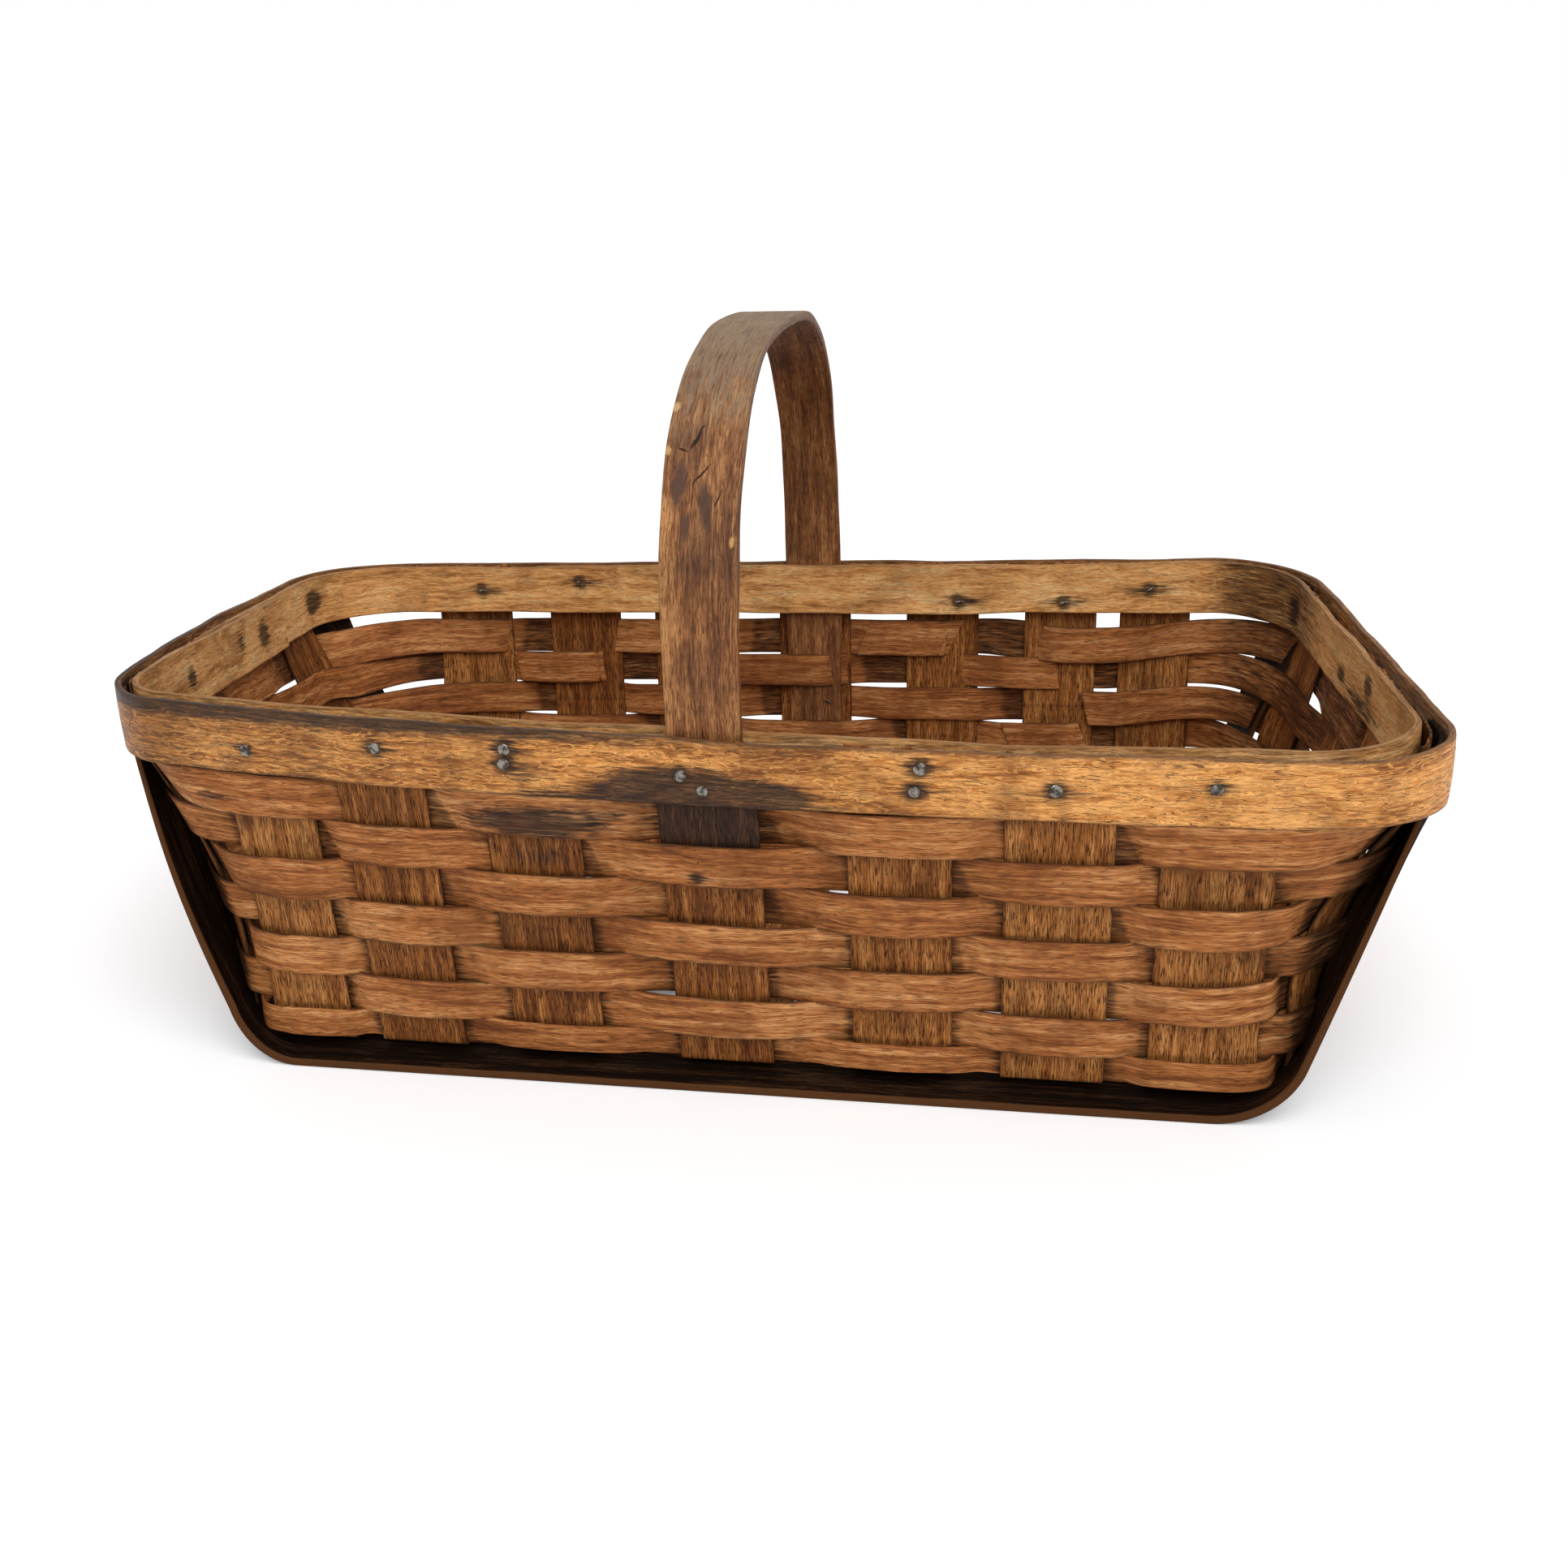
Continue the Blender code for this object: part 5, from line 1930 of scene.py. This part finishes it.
    def wear(
        self, points: np.ndarray, distance: np.ndarray, keys: np.ndarray, offsets: list[float],
        row: int,
    ) -> WearAndShadeMaps:
        """Returns the weaver's tone, painted shade beside the stakes that cover it and at the basket's
        ends, and its stains.

        Args:
            points: the middle of the splint, as rows of points.
            distance: distances along the hoop.
            keys: where it meets and leaves each stake.
            offsets: how far out it lies at each stake.
            row: the row, counted from the rim.

        Returns:
            The wear maps.
        """
        rows, columns = points.shape[:2]
        draw = np.random.RandomState(500 + row)
        tone = 0.5 * ripple(distance, 0.18, 400 + row) + draw.uniform(-0.3, 0.3)
        tone = tone + (0.5 if row == 1 else 0.0)
        near = np.zeros(columns)
        far = np.zeros(columns)
        # Painted shade on the weaver beside each stake that covers it.
        for step, offset in enumerate(offsets):
            first, last = keys[2 * step], keys[2 * step + 1]
            gap = np.maximum(np.maximum(first - distance, distance - last), 0.0)
            shade = self.crossing_shade * (1 - smooth(gap / self.crossing_reach))
            if offset > 0:
                far = np.maximum(far, shade)
            else:
                near = np.maximum(near, shade)
        spots = settle(points.reshape(-1, 3))
        stains = [
            Stain((-0.062, -0.150, 0.117), (0.060, 0.04, 0.0120), 1.3),
            Stain((-0.015, -0.150, 0.116), (0.030, 0.04, 0.0140), 0.8),
            Stain((-0.002, -0.150, 0.095), (0.0065, 0.04, 0.0050), 1.4),
            Stain((-0.002, -0.150, 0.095), (0.016, 0.04, 0.0030), 0.7),
            Stain((-0.198, -0.140, 0.120), (0.018, 0.04, 0.0030), 0.8),
        ]
        iron = stained(spots + SHIFT, stains).reshape(rows, columns)
        # Painted shade at the basket's ends, added to the grime channel.
        inside, outside = end_shade(points)
        return {
            "tone": (np.tile(tone, (rows, 1)), np.tile(tone, (rows, 1))),
            "grime_and_shade": (np.maximum(near, outside), np.maximum(far, inside)),
            "iron": (iron, iron),
        }


@dataclass
class CarryHandle:
    """The handle: one bent hoop whose legs stand between the bands.

    grey, soil and under are how strongly its top is weathered, its front leg soiled and its underside
    darkened; the leg highlight is how much that leg's left edge is made paler, a painted highlight.
    """

    width: float = 0.0285
    top: float = 0.2875
    squareness: float = 2.85
    arch_cells: int = 150
    leg_cells: int = 40
    cells_across: int = 12
    grey: float = 0.72
    grey_start: float = 0.232
    grey_blend: float = 0.055
    soil: float = 0.40
    soil_middle: float = 0.218
    soil_reach: float = 0.045
    # A painted highlight: how much the front leg's left edge is made paler.
    leg_highlight: float = 2.2
    under: float = 0.30

    def path(self) -> tuple[np.ndarray, np.ndarray]:
        """Returns the middle line of the handle as Y and Z, and its thickness as a share.

        Returns:
            The line, and the thickness at each of its points.
        """
        gap = FORM.stake_thickness / 2 + FORM.fit
        tail_end = FORM.rim_bottom - FORM.tail_drop
        heights = np.concatenate([
            np.linspace(tail_end, FORM.rim_bottom, self.leg_cells), [FORM.rim_top - 0.012, FORM.rim_top]
        ])
        climb = np.clip((heights - tail_end) / FORM.tail_drop, 0.0, 1.0)
        thickness = mix(FORM.tail_thickness, FORM.handle_thickness, climb)
        reach = np.array([wall_hoop(z).reaches[Side.FRONT] for z in heights])
        leg = np.column_stack([-(reach - gap - thickness / 2), heights])
        half_span = -leg[-1, 0]
        rise = self.top - FORM.handle_thickness / 2 - FORM.rim_top
        power = 2 / self.squareness
        angle = np.linspace(0.0, math.pi, self.arch_cells)[1:-1]
        arch = np.column_stack([
            -half_span * np.sign(np.cos(angle)) * np.abs(np.cos(angle)) ** power,
            FORM.rim_top + rise * np.sin(angle) ** power,
        ])
        far_leg = leg[::-1] * (-1.0, 1.0)
        weights = np.concatenate([thickness, np.full(len(arch), FORM.handle_thickness), thickness[::-1]])
        return np.vstack([leg, arch, far_leg]), weights / FORM.handle_thickness

    def build(self) -> None:
        """Makes the handle."""
        line, weights = self.path()
        spaced = np.concatenate([[0.0], np.cumsum(np.linalg.norm(np.diff(line, axis=0), axis=1))])
        even = np.linspace(0.0, spaced[-1], 260)
        y, z, weight = (np.interp(even, spaced, values) for values in (*line.T, weights))
        shares = np.linspace(-1.0, 1.0, self.cells_across + 1)
        lines = []
        for share in shares:
            x = FORM.centre_stake_place + share * self.width / 2
            wave = 0.0005 * ripple(even, 0.12, 80) * share
            lines.append(np.column_stack([np.full_like(y, x) + wave, y, z]))
        points = np.array(lines)
        wear = self.wear(points, even, shares)
        Sheet("handle_hoop", "handle", points, self.width, FORM.handle_thickness, HANDLE, 80,
              edge=0.0011, edge_steps=3, thinning=np.tile(weight, (len(shares), 1)),
              wear_and_shade_maps=wear).build()

    def wear(self, points: np.ndarray, even: np.ndarray, shares: np.ndarray) -> WearAndShadeMaps:
        """Returns the handle's weathered grey top, the darker places below it, and a painted highlight on
        its front leg's left edge.

        Args:
            points: the middle of the splint, as rows of points.
            even: the length up to each column.
            shares: where each row lies, from -1 to 1.

        Returns:
            The wear maps.
        """
        tone = np.tile(0.5 * ripple(even, 0.11, 81), (len(shares), 1))
        height = points[:, :, 2]
        across = shares[:, None] * np.ones_like(height)
        front = points[:, :, 1] < 0
        grey = self.grey * smooth((height - self.grey_start) / self.grey_blend)
        near_soil = smooth(1 - np.abs(height - self.soil_middle) / self.soil_reach)
        soil = self.soil * near_soil * front * smooth((across + 0.9) / 0.6)
        # Painted highlight: the front leg's left edge made paler, where light catches its rounded edge.
        leg_highlight = smooth((-0.55 - across) / 0.4) * (height < 0.235) * front
        tone = tone + self.leg_highlight * leg_highlight
        under = self.under * smooth((height - 0.205) / 0.05)
        none = np.zeros_like(tone)
        return {"tone": (tone, tone), "wear": (none, grey), "grime_and_shade": (under, soil)}


@dataclass
class Runners:
    """Thick straps under the base, bent up outside the ends and tucked into the rim."""

    width: float = 0.037
    tip_thickness: float = 0.0020
    overhang: float = 0.013
    bend: float = 0.034
    bend_start: float = 0.027
    fold: float = 0.010
    bows: tuple[float, float] = (0.0045, 0.0004)
    tip_place: float = 0.0850
    tuck: float = 0.002
    tip_fit: float = 0.0004
    turn_in: float = 0.0085
    cells_across: int = 12

    def build(self) -> None:
        """Makes both runners."""
        self.runner("runner_front", -1.0, 90)
        self.runner("runner_back", 1.0, 91)

    def half(self, share: float, toward: float, back: float) -> np.ndarray:
        """Returns one line of a runner's underside, from its middle out to one tip.

        Args:
            share: 0 at the runner's outer edge, and 1 at its inner edge.
            toward: 1 for the right end, and -1 for the left.
            back: 1 for the runner at the back, and -1 for the one at the front.

        Returns:
            The line's points.
        """
        foot_y = FORM.base_width / 2 + self.overhang - share * self.width
        bend_x = FORM.base_length / 2 - self.bend_start + share * self.fold
        slot = rim_hoop(FORM.band_thickness + self.tip_fit)
        side = Side.RIGHT if toward > 0 else Side.LEFT
        bow = self.bows[toward > 0] - self.turn_in * share
        outer_way = toward * back
        tip = slot.place(side, outer_way * self.tip_place) + outer_way * (1 - share) * self.width
        tip_x, tip_y = np.abs(slot.at(np.array([tip]))[0][0])
        reach_x, reach_z = tip_x - bend_x, FORM.rim_bottom - self.bend
        span = math.hypot(reach_x, reach_z)
        last_angle = math.atan2(reach_z, reach_x) - math.acos(self.bend / span)
        flat = np.column_stack([np.linspace(0.0, bend_x, 60), np.zeros(60)])
        angle = np.linspace(-math.pi / 2, last_angle, 25)[1:]
        curve = np.column_stack([
            bend_x + self.bend * np.cos(angle), self.bend * (1 + np.sin(angle))
        ])
        rise = np.linspace(0.0, 1.0, 31)[1:]
        start_x, start_z = curve[-1]
        straight = np.column_stack([
            mix(start_x, tip_x, rise) + bow * np.sin(math.pi * rise),
            mix(start_z, FORM.rim_bottom, rise),
        ])
        tucked = np.linspace(FORM.rim_bottom, FORM.rim_top - self.tuck, 6)[1:]
        top = np.column_stack([np.full(5, tip_x), tucked])
        line = np.vstack([flat, curve, straight, top])
        y = mix(foot_y, tip_y, np.minimum(line[:, 1] / FORM.rim_bottom, 1.0))
        return np.column_stack([toward * line[:, 0], back * y, line[:, 1]])

    def runner(self, node: str, back: float, seed: int) -> None:
        """Makes one runner, thinned towards its tips.

        Args:
            node: the runner's solid.
            back: 1 for the one at the back, and -1 for the front.
            seed: picks its unevenness.
        """
        lines = []
        for share in np.linspace(0.0, 1.0, self.cells_across + 1):
            left, right = (self.half(share, toward, back) for toward in (-1.0, 1.0))
            lines.append(np.vstack([left[:0:-1], right]))
        underside = np.array(lines)[::-1]
        inward = grid_normals(underside)
        upward = np.sign(inward[:, underside.shape[1] // 2, 2].mean())
        climb = np.minimum(underside[:, :, 2] / FORM.rim_bottom, 1.0)
        thin = mix(1.0, self.tip_thickness / FORM.runner_thickness, climb)
        points = underside + inward * upward * (FORM.runner_thickness / 2 * thin)[:, :, None]
        wear = self.wear(points, seed)
        Sheet(f"{node}_strap", node, points, self.width, FORM.runner_thickness, RUNNER, seed,
              edge=0.0007, edge_steps=3, thinning=thin, wear_and_shade_maps=wear).build()

    def wear(self, points: np.ndarray, seed: int) -> WearAndShadeMaps:
        """Returns the runner's tone.

        Args:
            points: the middle of the splint, as rows of points.
            seed: picks its unevenness.

        Returns:
            The wear maps.
        """
        rows, columns = points.shape[:2]
        tone = np.tile(0.5 * ripple(np.linspace(0, 0.7, columns), 0.2, seed), (rows, 1))
        return {"tone": (tone, tone)}


def main() -> None:
    """Builds the basket and its studio."""
    logging.basicConfig(level=logging.INFO, format="%(message)s")
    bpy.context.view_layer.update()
    Studio().build()
    for group in (Rim(), Stakes(), Weavers(), CarryHandle(), Runners(), RimNails()):
        group.build()


if __name__ == "__main__":
    main()
